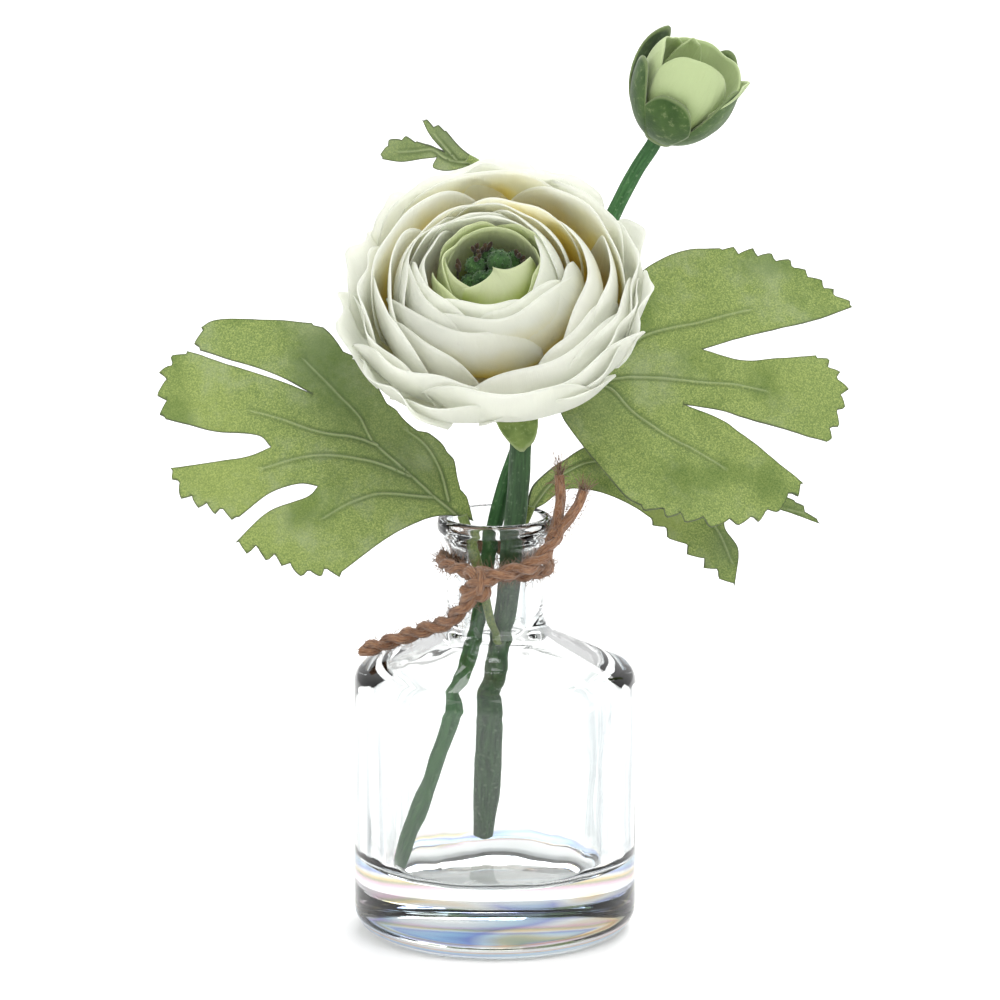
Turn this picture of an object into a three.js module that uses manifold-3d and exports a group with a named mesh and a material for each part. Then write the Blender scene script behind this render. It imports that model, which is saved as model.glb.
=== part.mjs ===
// A silk ranunculus in a small glass bottle: an open white bloom and a green bud on two stems,
// four lobed leaves, and a jute twine knotted round the bottle's neck.
// Millimetres, +Z up, the front of the arrangement faces -Y. The origin is the centre of the bottle's base.

import * as THREE from 'three';
import { mergeVertices } from 'three/addons/utils/BufferGeometryUtils.js';
import Module from 'manifold-3d';

const wasm = await Module();
wasm.setup();

const { degToRad, lerp } = THREE.MathUtils;

// ---------------------------------------------------------------- driving dimensions

const CLEAR = 0.3; // gap between two pieces that touch

const BOTTLE = {
  radius: 35.5,
  heelRadius: 6.5,
  shoulderEdge: 64, // height where the straight wall ends
  shoulderApex: 84, // height that the shoulder's cone would have on the axis
  shoulderSlope: 0.5, // fall of the shoulder for each millimetre outwards
  neckRadius: 12.1,
  neckTop: 98.5,
  lipRadius: 14.5,
  height: 106.6,
  boreRadius: 7.7,
  mouthRadius: 12,
  innerRadius: 28,
  innerShoulder: 62,
  innerNeck: 75.5,
  floorHeight: 17,
  floorFillet: 4,
  sides: 32,
};

const TWINE = {
  radius: 2,
  sides: 8,
  ringDepth: 1, // half thickness of the loop, which lies flattened against the neck
  ringHeight: 94.4,
  ringTilt: degToRad(3.5),
  knot: [-4.6, -15.8, 92.6],
  knotSize: [4.6, 3.6, 5.2],
  lowTail: [
    [-5.0, -15.4, 91], [-8.2, -14.2, 86], [-11.5, -12.2, 82.2], [-16.5, -8.4, 79.6], [-22.5, -5.6, 76.8],
    [-28.5, -3.4, 74.2], [-33.4, -1.4, 72],
  ],
  highTail: [
    [-3.4, -17, 94], [3.2, -17.4, 95.8], [9.6, -15, 97.4], [13.4, -12.6, 101], [15.6, -9.8, 105.2],
  ],
  plies: [
    [[15.0, -9.6, 104.4], [15.9, -8.8, 109.5], [16.3, -8.6, 114], [16.0, -8.0, 120]],
    [[15.4, -9.8, 104.4], [18.4, -9.4, 108], [21.3, -9.0, 112], [22.4, -8.8, 116]],
  ],
};

const STEMS = {
  flower: {
    radii: [2.9, 2.7],
    sides: 10,
    steps: 26,
    route: [
      [-3.8, 19.5, 19.9], [-2.2, 15, 39], [-0.6, 9.5, 57], [1.2, 4.2, 72], [3.0, 0.3, 84], [4.2, -1.0, 98],
      [5.4, -0.6, 108], [6.3, 1.4, 120], [6.2, 4.6, 130.5], [3.8, 7.6, 137], [0.9, 7.7, 141.7],
      [1.0, 5.3, 144.5],
    ],
  },
  bud: {
    radii: [2.05, 1.9],
    sides: 8,
    steps: 36,
    route: [
      [-23.3, -6, 19.4], [-17.2, -4.5, 36], [-11.5, -2.5, 53], [-6.9, -0.2, 68], [-4.7, 1.2, 78],
      [-2.9, 3.0, 90], [-0.4, 4.2, 102], [2.2, 6.2, 112], [8.2, 12.6, 127.5], [13.2, 18.2, 139],
      [18.4, 22.6, 152], [24.4, 25.0, 166], [30.6, 26.2, 180], [36.2, 27.1, 190.8], [39.9, 27.4, 196.1],
    ],
  },
};

// Petals and sepals rise from a seat, in a frame whose +Z is the flower's axis. Each is a strip whose
// middle line runs in (radius, height) from its root, out to the belly and up to its rim.
const BLOOM = {
  seat: [1.2, 2.3, 147.9],
  lean: degToRad(41), // from the vertical towards the front
  turn: degToRad(-4.5),
  thickness: 0.7,
  coreSides: 18,
  core: { root: [5, 1.5], belly: [34, 3.2], rim: [36.4, 26] },
  coreReach: 0.4,
  wellRadius: 13.3,
  wellFloor: 6.3,
  wellTop: 13,
  whorls: [
    { petals: 5, rim: [13.8, 37], belly: 16.9, start: 0.47 },
    { petals: 5, rim: [18, 36], belly: 20.6, start: 0.25 },
    { petals: 6, rim: [23.2, 34.2], belly: 24.8, start: 0.25 },
    { petals: 6, rim: [28.8, 32.8], belly: 29.2, start: 0.24 },
    { petals: 7, rim: [33.7, 31.6], belly: 32.8, start: 0.22, oval: 0.4 },
    { petals: 7, rim: [37.9, 28.6], belly: 36.7, start: 0.1, sink: 1.4, oval: 0.8 },
  ],
};

const HEART = {
  floor: BLOOM.wellFloor + CLEAR,
  radius: BLOOM.wellRadius - 0.5,
  height: 10.5,
  whorls: [
    { petals: 3, rim: [7.8, 32], belly: 9.6, start: 0.2 },
    { petals: 4, rim: [10.6, 36], belly: 11.6, start: 0.2 },
  ],
};

const CARPELS = { foot: HEART.height + CLEAR, radius: 3.6, top: 31.5, rows: 4, perRow: 7, bead: 1.3 };
const STAMENS = {
  count: 8,
  ring: [5, 5.8],
  foot: HEART.height + CLEAR,
  height: 1,
  lean: 0.7,
  filament: 0.5,
  top: 32.4,
};

const CALYX = {
  foot: -4,
  radius: 5,
  top: 1.2,
  sepal: { root: [2.5, -1.6], belly: [10, -1.6], shoulder: [16.5, -6], rim: [21.5, -15.5] },
  halfWidth: degToRad(25),
  angles: [18, 88, 158, 228, 302].map(degToRad),
  lengths: [1, 0.8, 0.62, 0.62, 0.8],
};

const BUD = {
  seat: [41.2, 27.1, 198.1],
  lean: degToRad(10.5),
  turn: degToRad(25),
  core: { root: [4, 1.2], belly: [12.2, 3.4], shoulder: [9.5, 16.2], rim: [3.2, 20.7] },
  petals: [
    { count: 4, rim: [4.2, 25.2], belly: 12, shoulder: [11, 20.8], start: 0.25 },
    { count: 4, rim: [6.8, 23.8], belly: 13.8, shoulder: [12.2, 18], start: 0.25 },
  ],
};

const BUD_CUP = {
  foot: -1.5,
  sepal: { root: [1.5, -0.6], belly: [15.2, 1.2], shoulder: [14.6, 11.2], rim: [11.4, 22.5] },
  halfWidth: degToRad(36),
  angles: [-4, 66, 136, 207, 281].map(degToRad),
  lengths: [0.78, 0.7, 0.92, 1.08, 0.86],
  thickness: 0.7,
};

// Leaf outlines lie flat in the leaf's own plane: [across, up] from where the blade leaves its stalk.
// A run with teeth is a serrated margin through its points; the others are smooth.
const LEAVES = {
  leaf_left: {
    seat: [-7.2, -4, 105.7],
    pitch: degToRad(24),
    yaw: degToRad(12),
    blade: {
      axis: degToRad(154), length: 78, arch: 0.1, droop: 0.2, cup: 0.1, wave: 1.6, waves: 5, phase: 0.6,
    },
    outline: [
      {
        teeth: 5,
        depth: 1.2,
        points: [[2, 0], [-1, 10], [-4, 19], [-14, 26.5], [-22, 38], [-30.5, 49.5], [-34.5, 53]],
      },
      { points: [[-46.5, 55], [-58.5, 56], [-61.5, 54.5]] },
      { teeth: 1, depth: 3, points: [[-62.5, 48.5]] },
      { points: [[-55, 45], [-44, 39.9], [-36, 34.5]] },
      { points: [[-44, 38.7], [-55, 43.6], [-65.5, 48.5]] },
      { teeth: 3, depth: 3, points: [[-71, 44.5], [-72.5, 38], [-72.5, 31]] },
      { points: [[-62.5, 27], [-50, 24.5], [-47.5, 21.5]] },
      { points: [[-53, 19.5], [-63, 18.5], [-72.5, 18]] },
      { teeth: 3, depth: 2.4, points: [[-69.5, 10.5], [-57, 4]] },
      { points: [[-48, 10], [-41, 11.5], [-37, 10.5]] },
      { points: [[-39, 8.5], [-49.5, 5], [-58.5, -2.5]] },
      { teeth: 5, depth: 2.4, points: [[-48, -7.5], [-42.5, -11], [-32, -11]] },
      { points: [[-19, -2.6], [-8.5, 1.5], [-2, 1.7]] },
    ],
    stalk: {
      radii: [1.3, 0.9],
      route: [
        [-8.2, -4.2, 107.4], [-6.0, -3.8, 101.5], [-3.9, -4.6, 95], [-2.4, -5.4, 88], [-0.9, -4.2, 80],
        [0.9, -0.5, 73.5],
      ],
    },
  },
  leaf_right: {
    seat: [15.4, 17, 134.1],
    pitch: degToRad(28),
    yaw: degToRad(8),
    blade: {
      axis: degToRad(3), length: 76, arch: 0.1, droop: 0.16, cup: 0.08, wave: 1.4, waves: 5, phase: 2,
    },
    outline: [
      { points: [[0, 2], [5.5, 11], [15, 22.5], [25, 32], [34.5, 36.5], [44.5, 37.5]] },
      { teeth: 5, depth: 2, points: [[61, 34.5], [71, 28.5], [78.5, 22.5]] },
      { points: [[68, 18.5], [48.5, 13.5], [38, 10.5]] },
      { points: [[48.5, 7.5], [57, 8], [67.5, 9]] },
      { teeth: 4, depth: 3, points: [[72, 5], [74, -1], [68.5, -14]] },
      { points: [[53, -9.5], [40, -5.5], [32, -4]] },
      { points: [[41, -8], [48, -13.5], [61.5, -25]] },
      { teeth: 6, depth: 2.2, points: [[52, -32.5], [38, -35.5], [18.5, -30]] },
      { points: [[16, -28.5], [8.5, -18], [1.5, -7], [0, -1.5]] },
    ],
    stalk: { radii: [1.4, 1.4], route: [[20, 18, 134.6], [17, 17.6, 134.6], [14.4, 17.2, 134.8]] },
  },
  leaf_right_low: {
    seat: [9, 3.9, 104.5],
    pitch: degToRad(5),
    yaw: degToRad(22),
    blade: {
      axis: degToRad(5), length: 70, arch: -0.3, droop: -0.31, cup: 0, wave: 0.8, waves: 4, phase: 0,
    },
    outline: [
      {
        points: [
          [-1.3, 1.5], [0.5, 7.5], [4, 10.5], [10.5, 14], [18, 17], [32, 17.5], [47.5, 12.5], [63, 4],
          [72, -0.5],
        ],
      },
      { teeth: 1, depth: 1, points: [[78.5, -7]] },
      { points: [[71.5, -4], [63, -0.5], [57.5, 0.5]] },
      { points: [[54.5, -6], [58, -12.5], [57, -22]] },
      { teeth: 4, depth: 2.4, points: [[50, -16], [42.5, -9.5], [35, -3]] },
      { points: [[30, 0.5], [20.5, 5], [11, 6.5], [4.5, 3.6], [0.8, 2.2]] },
    ],
    stalk: { radii: [1.2, 0.9], route: [[9.0, 4.0, 108], [7.0, 3.8, 103], [4.0, 3.8, 96.5], [3.4, 3.6, 88]] },
  },
  leaf_small: {
    seat: [-6.3, 27.5, 192.5],
    pitch: degToRad(-8),
    yaw: degToRad(-6),
    blade: {
      axis: degToRad(160), length: 24, arch: 0, droop: 0.1, cup: 0, wave: 0.5, waves: 4, phase: 0,
    },
    outline: [
      { points: [[2, -0.5], [-2, 2.5], [-6, 7]] },
      { teeth: 2, depth: 1.2, points: [[-12, 9.5]] },
      { points: [[-10, 5.5], [-6.5, 1.5]] },
      { points: [[-10, 3], [-13.5, 4]] },
      { teeth: 3, depth: 1.4, points: [[-17.5, 4.5], [-21, 3], [-22.5, -1]] },
      { points: [[-17.5, -1.5], [-12, -0.5], [-8.5, 0]] },
      { points: [[-9.5, -2.5], [-6.5, -3.5], [1, -2]] },
    ],
    stalk: {
      radii: [1.1, 0.8],
      route: [
        [-7, 27.5, 192.6], [-3, 28.3, 190], [3, 29.6, 182], [8.6, 28.8, 170], [13.2, 26.8, 160],
        [16.9, 25.0, 153],
      ],
    },
  },
};
const BLADE_THICKNESS = 0.75;
const LONGEST_EDGE = 17; // blade triangles are split down to this
const SMOOTH_STEP = 9; // spacing of the points along a smooth margin

const FINISH = {
  glass: { color: 0xe9f0ee, roughness: 0.05, metalness: 0 },
  jute: { color: 0x9a6b45, roughness: 0.95, metalness: 0 },
  stem: { color: 0x3f6b3a, roughness: 0.55, metalness: 0 },
  leaf: { color: 0x7c9c48, roughness: 0.85, metalness: 0 },
  petal: { color: 0xf4f2e6, roughness: 0.8, metalness: 0 },
  heart: { color: 0xb9cf72, roughness: 0.8, metalness: 0 },
  carpel: { color: 0x3d6a2f, roughness: 0.9, metalness: 0 },
  stamen: { color: 0x5a4320, roughness: 0.9, metalness: 0 },
  sepal: { color: 0x5c7f3c, roughness: 0.8, metalness: 0 },
  budPetal: { color: 0xc9d99a, roughness: 0.75, metalness: 0 },
};

// ---------------------------------------------------------------- solids

/** A closed geometry from points and triangles, turned so that its faces point out. */
function closedSolid(points, triangles) {
  let volume = 0;
  for (const [a, b, c] of triangles) {
    volume += points[a].dot(new THREE.Vector3().crossVectors(points[b], points[c]));
  }
  const index = triangles.flatMap(([a, b, c]) => (volume < 0 ? [a, c, b] : [a, b, c]));
  const geometry = new THREE.BufferGeometry().setFromPoints(points);
  geometry.setIndex(index);
  return geometry;
}

/** The solid between two alike sheets of points, given the sheet's triangles and the loop round its edge. */
function thickSheet(front, back, triangles, edge) {
  const count = front.length;
  const walls = edge.flatMap((a, i) => {
    const b = edge[(i + 1) % edge.length];
    return [[a, a + count, b], [b, a + count, b + count]];
  });
  const backs = triangles.map(([a, b, c]) => [a + count, c + count, b + count]);
  return closedSolid([...front, ...back], [...triangles, ...backs, ...walls]);
}

/** A round rod along a curve whose radius goes from the first to the last of radii. */
function rod(curve, radii, steps, sides) {
  const frames = curve.computeFrenetFrames(steps, false);
  const points = [];
  const triangles = [];
  for (let i = 0; i <= steps; i += 1) {
    const centre = curve.getPointAt(i / steps);
    const radius = lerp(radii[0], radii[1], i / steps);
    for (let j = 0; j < sides; j += 1) {
      const angle = (j / sides) * 2 * Math.PI;
      points.push(
        centre.clone()
          .addScaledVector(frames.normals[i], radius * Math.cos(angle))
          .addScaledVector(frames.binormals[i], radius * Math.sin(angle)),
      );
    }
  }
  for (let i = 0; i < steps; i += 1) {
    for (let j = 0; j < sides; j += 1) {
      const a = i * sides + j;
      const b = i * sides + ((j + 1) % sides);
      triangles.push([a, a + sides, b], [b, a + sides, b + sides]);
    }
  }
  const last = steps * sides;
  for (let j = 1; j < sides - 1; j += 1) {
    triangles.push([0, j, j + 1], [last, last + j + 1, last + j]);
  }
  return closedSolid(points, triangles);
}

/** A smooth curve through a list of [x, y, z]. */
function route(points) {
  return new THREE.CatmullRomCurve3(points.map((p) => new THREE.Vector3(...p)), false, 'centripetal');
}

/** A smooth curve through a list of [x, y]. */
function flatRoute(points) {
  return route(points.map(([x, y]) => [x, y, 0]));
}

/** A turned solid from a profile of [radius, height] that starts and ends on the axis. */
function turned(profile, sides) {
  const geometry = new THREE.LatheGeometry(profile.map(([r, h]) => new THREE.Vector2(r, h)), sides);
  geometry.rotateX(Math.PI / 2);
  return geometry;
}

/** The geometry with its shared vertices merged, as the library's solid. */
function asManifold(geometry) {
  const bare = new THREE.BufferGeometry();
  bare.setAttribute('position', geometry.getAttribute('position'));
  if (geometry.index) bare.setIndex(geometry.index);
  const merged = mergeVertices(bare, 1e-4);
  const index = [];
  for (let i = 0; i < merged.index.count; i += 3) {
    const [a, b, c] = [0, 1, 2].map((k) => merged.index.getX(i + k));
    if (a !== b && b !== c && c !== a) index.push(a, b, c);
  }
  return new wasm.Manifold(new wasm.Mesh({
    numProp: 3,
    vertProperties: new Float32Array(merged.getAttribute('position').array),
    triVerts: new Uint32Array(index),
  }));
}

/** One solid from several that cross; sealed hollows are filled and loose scraps dropped. */
function fused(geometries) {
  const whole = geometries.map(asManifold).reduce((sum, next) => sum.add(next));
  const largest = whole.decompose().reduce((best, next) => (next.volume() > best.volume() ? next : best));
  const mesh = largest.getMesh();
  const geometry = new THREE.BufferGeometry();
  geometry.setAttribute('position', new THREE.BufferAttribute(new Float32Array(mesh.vertProperties), 3));
  geometry.setIndex(new THREE.BufferAttribute(new Uint32Array(mesh.triVerts), 1));
  return geometry;
}

/** Points of an arc in (radius, height) round a centre, between two angles in degrees. */
function arc([r, h], radius, from, to, steps) {
  return Array.from({ length: steps + 1 }, (_, i) => {
    const angle = degToRad(lerp(from, to, i / steps));
    return [r + radius * Math.cos(angle), h + radius * Math.sin(angle)];
  });
}

/** A repeatable number from 0 to 1 for piece i and use k. */
function scatter(i, k) {
  const s = Math.sin(i * 12.9898 + k * 78.233) * 43758.5453;
  return s - Math.floor(s);
}

/** A point [radius, height] of the curve from root by belly and shoulder to rim. */
function alongProfile({ root, belly, shoulder, rim }, t) {
  const weights = [(1 - t) ** 3, 3 * t * (1 - t) ** 2, 3 * t ** 2 * (1 - t), t ** 3];
  const nodes = [root, belly, shoulder, rim];
  return [0, 1].map((axis) => nodes.reduce((sum, node, i) => sum + weights[i] * node[axis], 0));
}

/**
 * A petal or sepal as a solid. It is centred on an angle round the axis, counted from the front, and its top
 * is rounded off by `round`: the share of its length that its corners lose.
 */
function petal(profile, options) {
  const { angle, halfWidth, start = 0.2, end = 1, round, power = 2.4, spiral = 0, sink = 0 } = options;
  const { grid: [columns, rows], thickness } = options;
  const sheets = [[], []];
  for (let j = 0; j <= rows; j += 1) {
    for (let i = 0; i <= columns; i += 1) {
      const side = (2 * i) / columns - 1;
      const top = end * (1 - round * Math.abs(side) ** power);
      const t = lerp(start, top, j / rows);
      const [r, h] = alongProfile(profile, t);
      const [r1, h1] = alongProfile(profile, t + 0.01);
      const slope = new THREE.Vector2(h1 - h, r - r1).normalize();
      const theta = angle + side * halfWidth * (0.7 + 0.3 * Math.min(1, t * 2));
      const depth = thickness / 2 + sink * Math.max(0, 1 - t / 0.4);
      [thickness / 2, -depth].forEach((offset, k) => {
        const radius = r + spiral * side + slope.x * offset;
        const height = h + slope.y * offset;
        sheets[k].push(new THREE.Vector3(radius * Math.sin(theta), -radius * Math.cos(theta), height));
      });
    }
  }
  const at = (i, j) => j * (columns + 1) + i;
  const triangles = [];
  for (let j = 0; j < rows; j += 1) {
    for (let i = 0; i < columns; i += 1) {
      triangles.push([at(i, j), at(i + 1, j), at(i + 1, j + 1)], [at(i, j), at(i + 1, j + 1), at(i, j + 1)]);
    }
  }
  const edge = [];
  for (let i = 0; i < columns; i += 1) edge.push(at(i, 0));
  for (let j = 0; j < rows; j += 1) edge.push(at(columns, j));
  for (let i = columns; i > 0; i -= 1) edge.push(at(i, rows));
  for (let j = rows; j > 0; j -= 1) edge.push(at(0, j));
  return thickSheet(sheets[0], sheets[1], triangles, edge);
}

/** The petals of one whorl, each a little out of step; an oval ring is deeper than it is wide. */
function whorl(ring, number, { root, grid, thickness, overlap = 0.64, spiral = 1.2 }) {
  const pitch = (2 * Math.PI) / ring.petals;
  return Array.from({ length: ring.petals }, (_, i) => {
    const seed = number * 17 + i;
    const angle = (i + 0.37 * number) * pitch + 0.2 * (scatter(seed, 3) - 0.5) * pitch;
    const out = 0.3 * (scatter(seed, 1) - 0.5) + (ring.oval ?? 0) * Math.cos(2 * angle);
    const [rimRadius, rimHeight] = ring.rim;
    const profile = {
      root,
      belly: [ring.belly + out, root[1] + 1],
      shoulder: [ring.belly * 1.05 + out, rimHeight * 0.6],
      rim: [rimRadius + out, rimHeight + 1.4 * (scatter(seed, 2) - 0.5)],
    };
    return petal(profile, {
      angle,
      halfWidth: overlap * pitch,
      start: ring.start,
      round: 0.12,
      sink: ring.sink,
      spiral,
      grid,
      thickness,
    });
  });
}

// ---------------------------------------------------------------- bottle and twine

function bottle() {
  const b = BOTTLE;
  const cone = (radius) => b.shoulderApex - b.shoulderSlope * radius;
  const slopeAngle = THREE.MathUtils.radToDeg(Math.atan(b.shoulderSlope));
  const corner = 5;
  const lipMiddle = b.height - 1.6;
  const profile = [
    [0, 0],
    ...arc([b.radius - b.heelRadius, b.heelRadius], b.heelRadius, -90, 0, 5),
    ...arc([b.radius - corner, b.shoulderEdge], corner, 0, 90 - slopeAngle, 4),
    [b.neckRadius + 2.4, cone(b.neckRadius + 2.4)],
    [b.neckRadius + 0.7, cone(b.neckRadius) + 1.4],
    [b.neckRadius, cone(b.neckRadius) + 3.4],
    [b.neckRadius, b.neckTop],
    [b.neckRadius + 0.6, b.neckTop + 2.2],
    [b.lipRadius - 0.4, b.neckTop + 4.4],
    [b.lipRadius, lipMiddle - 0.6],
    [b.lipRadius, lipMiddle + 0.6],
    [b.lipRadius - 0.7, b.height],
    [b.mouthRadius + 0.5, b.height],
    [b.mouthRadius, b.height - 0.6],
    [b.mouthRadius - 0.9, b.height - 3],
    [b.boreRadius + 1, b.height - 6],
    [b.boreRadius, b.neckTop - 1],
    [b.boreRadius, b.innerNeck + 2],
    [b.boreRadius + 1.4, b.innerNeck],
    [b.innerRadius - 4, b.innerShoulder + 6],
    [b.innerRadius - 1, b.innerShoulder + 3.5],
    [b.innerRadius, b.innerShoulder],
    ...arc([b.innerRadius - b.floorFillet, b.floorHeight + b.floorFillet], b.floorFillet, 0, -90, 4),
    [0, b.floorHeight],
  ];
  return turned(profile, b.sides);
}

function juteTie() {
  const { radius, sides, ringDepth, ringHeight, ringTilt } = TWINE;
  const ringRadius = BOTTLE.neckRadius + ringDepth + CLEAR;
  const loop = Array.from({ length: BOTTLE.sides }, (_, i) => {
    const angle = (i / BOTTLE.sides) * 2 * Math.PI;
    const x = ringRadius * Math.cos(angle);
    return new THREE.Vector3(x, ringRadius * Math.sin(angle), ringHeight - x * Math.tan(ringTilt));
  });
  const points = loop.flatMap((centre) => {
    const out = new THREE.Vector3(centre.x, centre.y, 0).normalize();
    return Array.from({ length: sides }, (_, j) => {
      const turn = (j / sides) * 2 * Math.PI;
      const point = centre.clone().addScaledVector(out, ringDepth * Math.cos(turn));
      point.z += radius * Math.sin(turn);
      return point;
    });
  });
  const triangles = loop.flatMap((_, i) => Array.from({ length: sides }, (__, j) => {
    const next = (i + 1) % loop.length;
    const [a, b] = [i * sides + j, i * sides + ((j + 1) % sides)];
    const [c, d] = [next * sides + j, next * sides + ((j + 1) % sides)];
    return [[a, c, b], [b, c, d]];
  }).flat());
  const knot = new THREE.IcosahedronGeometry(1, 1).scale(...TWINE.knotSize).translate(...TWINE.knot);
  return fused([
    closedSolid(points, triangles),
    knot,
    rod(route(TWINE.lowTail), [radius, radius * 0.8], 10, sides),
    rod(route(TWINE.highTail), [radius, radius * 1.3], 7, sides),
    ...TWINE.plies.map((ply) => rod(route(ply), [radius, radius * 0.75], 4, 6)),
  ]);
}

// ---------------------------------------------------------------- stems and leaves

function stem({ route: points, radii, steps, sides }) {
  return rod(route(points), radii, steps, sides);
}

/** How far a blade stands out of its own plane at [across, up]. */
function relief({ axis, length, arch, droop, cup, wave, waves, phase }, [x, y]) {
  const along = (x * Math.cos(axis) + y * Math.sin(axis)) / length;
  const across = (y * Math.cos(axis) - x * Math.sin(axis)) / length;
  const ripple = wave * (along ** 2 + across ** 2) * Math.sin(waves * Math.atan2(across, along) + phase);
  return length * (arch * along - droop * along ** 2 + cup * across ** 2) + ripple;
}

/** A zigzag margin from a point through the others, its teeth pointing onwards. */
function serrated(from, points, teeth, depth) {
  const path = flatRoute([from, ...points]);
  const zigzag = [];
  for (let k = 0; k < teeth; k += 1) {
    [[0.62, 0.5], [1, -0.5]].forEach(([share, side]) => {
      const t = (k + share) / teeth;
      const point = path.getPointAt(t);
      const tangent = path.getTangentAt(t);
      const reach = t > 0.999 ? 0 : depth * side;
      zigzag.push([point.x - tangent.y * reach, point.y + tangent.x * reach]);
    });
  }
  return zigzag;
}

/** A smooth margin from a point through the others. */
function smooth(from, points) {
  const path = flatRoute([from, ...points]);
  const steps = Math.max(2, Math.round(path.getLength() / SMOOTH_STEP));
  return Array.from({ length: steps }, (_, i) => {
    const point = path.getPointAt((i + 1) / steps);
    return [point.x, point.y];
  });
}

/** Splits every edge over a length at its middle, in both triangles that share it, until none is left. */
function splitLongEdges(points, triangles, edge, longest) {
  let faces = triangles;
  let loop = edge;
  for (let pass = 0; pass < 8; pass += 1) {
    const middles = new Map();
    const middle = (a, b) => {
      const key = a < b ? `${a}_${b}` : `${b}_${a}`;
      const [p, q] = [points[a], points[b]];
      if (Math.hypot(p[0] - q[0], p[1] - q[1]) <= longest) return null;
      if (!middles.has(key)) {
        middles.set(key, points.length);
        points.push([(p[0] + q[0]) / 2, (p[1] + q[1]) / 2]);
      }
      return middles.get(key);
    };
    const next = [];
    for (const [a, b, c] of faces) {
      const cuts = [middle(a, b), middle(b, c), middle(c, a)];
      const found = cuts.filter((cut) => cut !== null).length;
      if (found === 0) {
        next.push([a, b, c]);
      } else if (found === 3) {
        const [ab, bc, ca] = cuts;
        next.push([a, ab, ca], [ab, b, bc], [ca, bc, c], [ab, bc, ca]);
      } else {
        const odd = cuts.findIndex((cut) => (cut === null) === (found === 2));
        const turn = found === 1 ? odd : (odd + 1) % 3;
        const [p, q, r] = [0, 1, 2].map((k) => [a, b, c][(turn + k) % 3]);
        const [pq, qr] = [cuts[turn], cuts[(turn + 1) % 3]];
        if (found === 1) next.push([p, pq, r], [pq, q, r]);
        else next.push([pq, q, qr], [p, pq, qr], [p, qr, r]);
      }
    }
    loop = loop.flatMap((a, i) => {
      const b = loop[(i + 1) % loop.length];
      const key = a < b ? `${a}_${b}` : `${b}_${a}`;
      return middles.has(key) ? [a, middles.get(key)] : [a];
    });
    faces = next;
    if (middles.size === 0) break;
  }
  return { faces, loop };
}

/** The points round a leaf's outline, counter-clockwise. */
function margin(outline) {
  const corners = outline.flatMap(({ points }) => points).map(([x, y]) => new THREE.Vector2(x, y));
  const clockwise = THREE.ShapeUtils.isClockWise(corners);
  const points = [outline[0].points[0]];
  outline.forEach(({ points: run, teeth, depth }, i) => {
    const onward = i === 0 ? run.slice(1) : run;
    const from = points[points.length - 1];
    const outwards = clockwise ? depth : -depth;
    points.push(...(teeth ? serrated(from, onward, teeth, outwards) : smooth(from, onward)));
  });
  return clockwise ? points.reverse() : points;
}

/** A leaf: its flat outline split into triangles, bent by its relief, thickened and set on its stalk. */
function leaf({ seat, pitch, yaw, blade, outline, stalk }) {
  const points = margin(outline);
  const contour = points.map(([x, y]) => new THREE.Vector2(x, y));
  const edge = points.map((_, i) => i);
  const triangles = THREE.ShapeUtils.triangulateShape(contour, []);
  const { faces, loop } = splitLongEdges(points, triangles, edge, LONGEST_EDGE);
  const plane = new THREE.Matrix4().makeRotationZ(yaw).multiply(new THREE.Matrix4().makeRotationX(-pitch));
  plane.setPosition(...seat);
  const place = (offset) => points.map((p) => (
    new THREE.Vector3(p[0], -(relief(blade, p) + offset), p[1]).applyMatrix4(plane)
  ));
  const sheet = thickSheet(place(BLADE_THICKNESS / 2), place(-BLADE_THICKNESS / 2), faces, loop);
  return fused([sheet, rod(route(stalk.route), stalk.radii, stalk.route.length * 3, 6)]);
}

// ---------------------------------------------------------------- bloom

function bloomPetals() {
  const b = BLOOM;
  const core = { ...b.core, shoulder: [b.core.belly[0] * 1.05, b.core.rim[1] * 0.6] };
  const steps = 4;
  const shares = Array.from({ length: steps + 1 }, (_, i) => i / steps);
  const underside = shares.map((share) => alongProfile(core, b.coreReach * share));
  const [rimRadius, rimHeight] = underside[steps];
  const profile = [
    [0, underside[0][1]],
    ...underside,
    [rimRadius - 0.6, rimHeight + 4],
    [24, b.wellTop + 1.5],
    [b.wellRadius, b.wellTop],
    [b.wellRadius, b.wellFloor],
    [0, b.wellFloor],
  ];
  const petals = b.whorls.flatMap((ring, number) => whorl(ring, number, {
    root: [5, 1],
    grid: number < 4 ? [3, 3] : [4, 3],
    thickness: b.thickness,
  }));
  return fused([turned(profile, b.coreSides), ...petals]);
}

function bloomHeart() {
  const h = HEART;
  const cup = [
    [0, h.floor], [h.radius, h.floor], [h.radius, h.height - 1], [h.radius - 0.8, h.height], [0, h.height],
  ];
  const petals = h.whorls.flatMap((ring, number) => whorl(ring, number + 20, {
    root: [5, 7.5],
    grid: [4, 2],
    thickness: 0.65,
    spiral: 0.5,
  }));
  return fused([turned(cup, 24), ...petals]);
}

function bloomCarpels() {
  const c = CARPELS;
  const rise = c.top - c.foot;
  const cone = [
    [0, c.foot], [c.radius, c.foot], [c.radius, c.foot + 0.65 * rise], [c.radius * 0.7, c.foot + 0.9 * rise],
    [0, c.top],
  ];
  const beads = [];
  for (let row = 0; row < c.rows; row += 1) {
    const share = 0.55 + (0.4 * row) / (c.rows - 1);
    const radius = c.radius * Math.sqrt(Math.max(0.02, 1 - Math.max(0, (share - 0.55) / 0.45) ** 2));
    const count = Math.max(3, Math.round((c.perRow * radius) / c.radius));
    for (let i = 0; i < count; i += 1) {
      const angle = ((i + 0.5 * (row % 2)) / count) * 2 * Math.PI;
      const bead = new THREE.OctahedronGeometry(c.bead, 0);
      bead.translate(radius * Math.cos(angle), radius * Math.sin(angle), c.foot + share * rise);
      beads.push(bead);
    }
  }
  return fused([turned(cone, 12), ...beads]);
}

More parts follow.
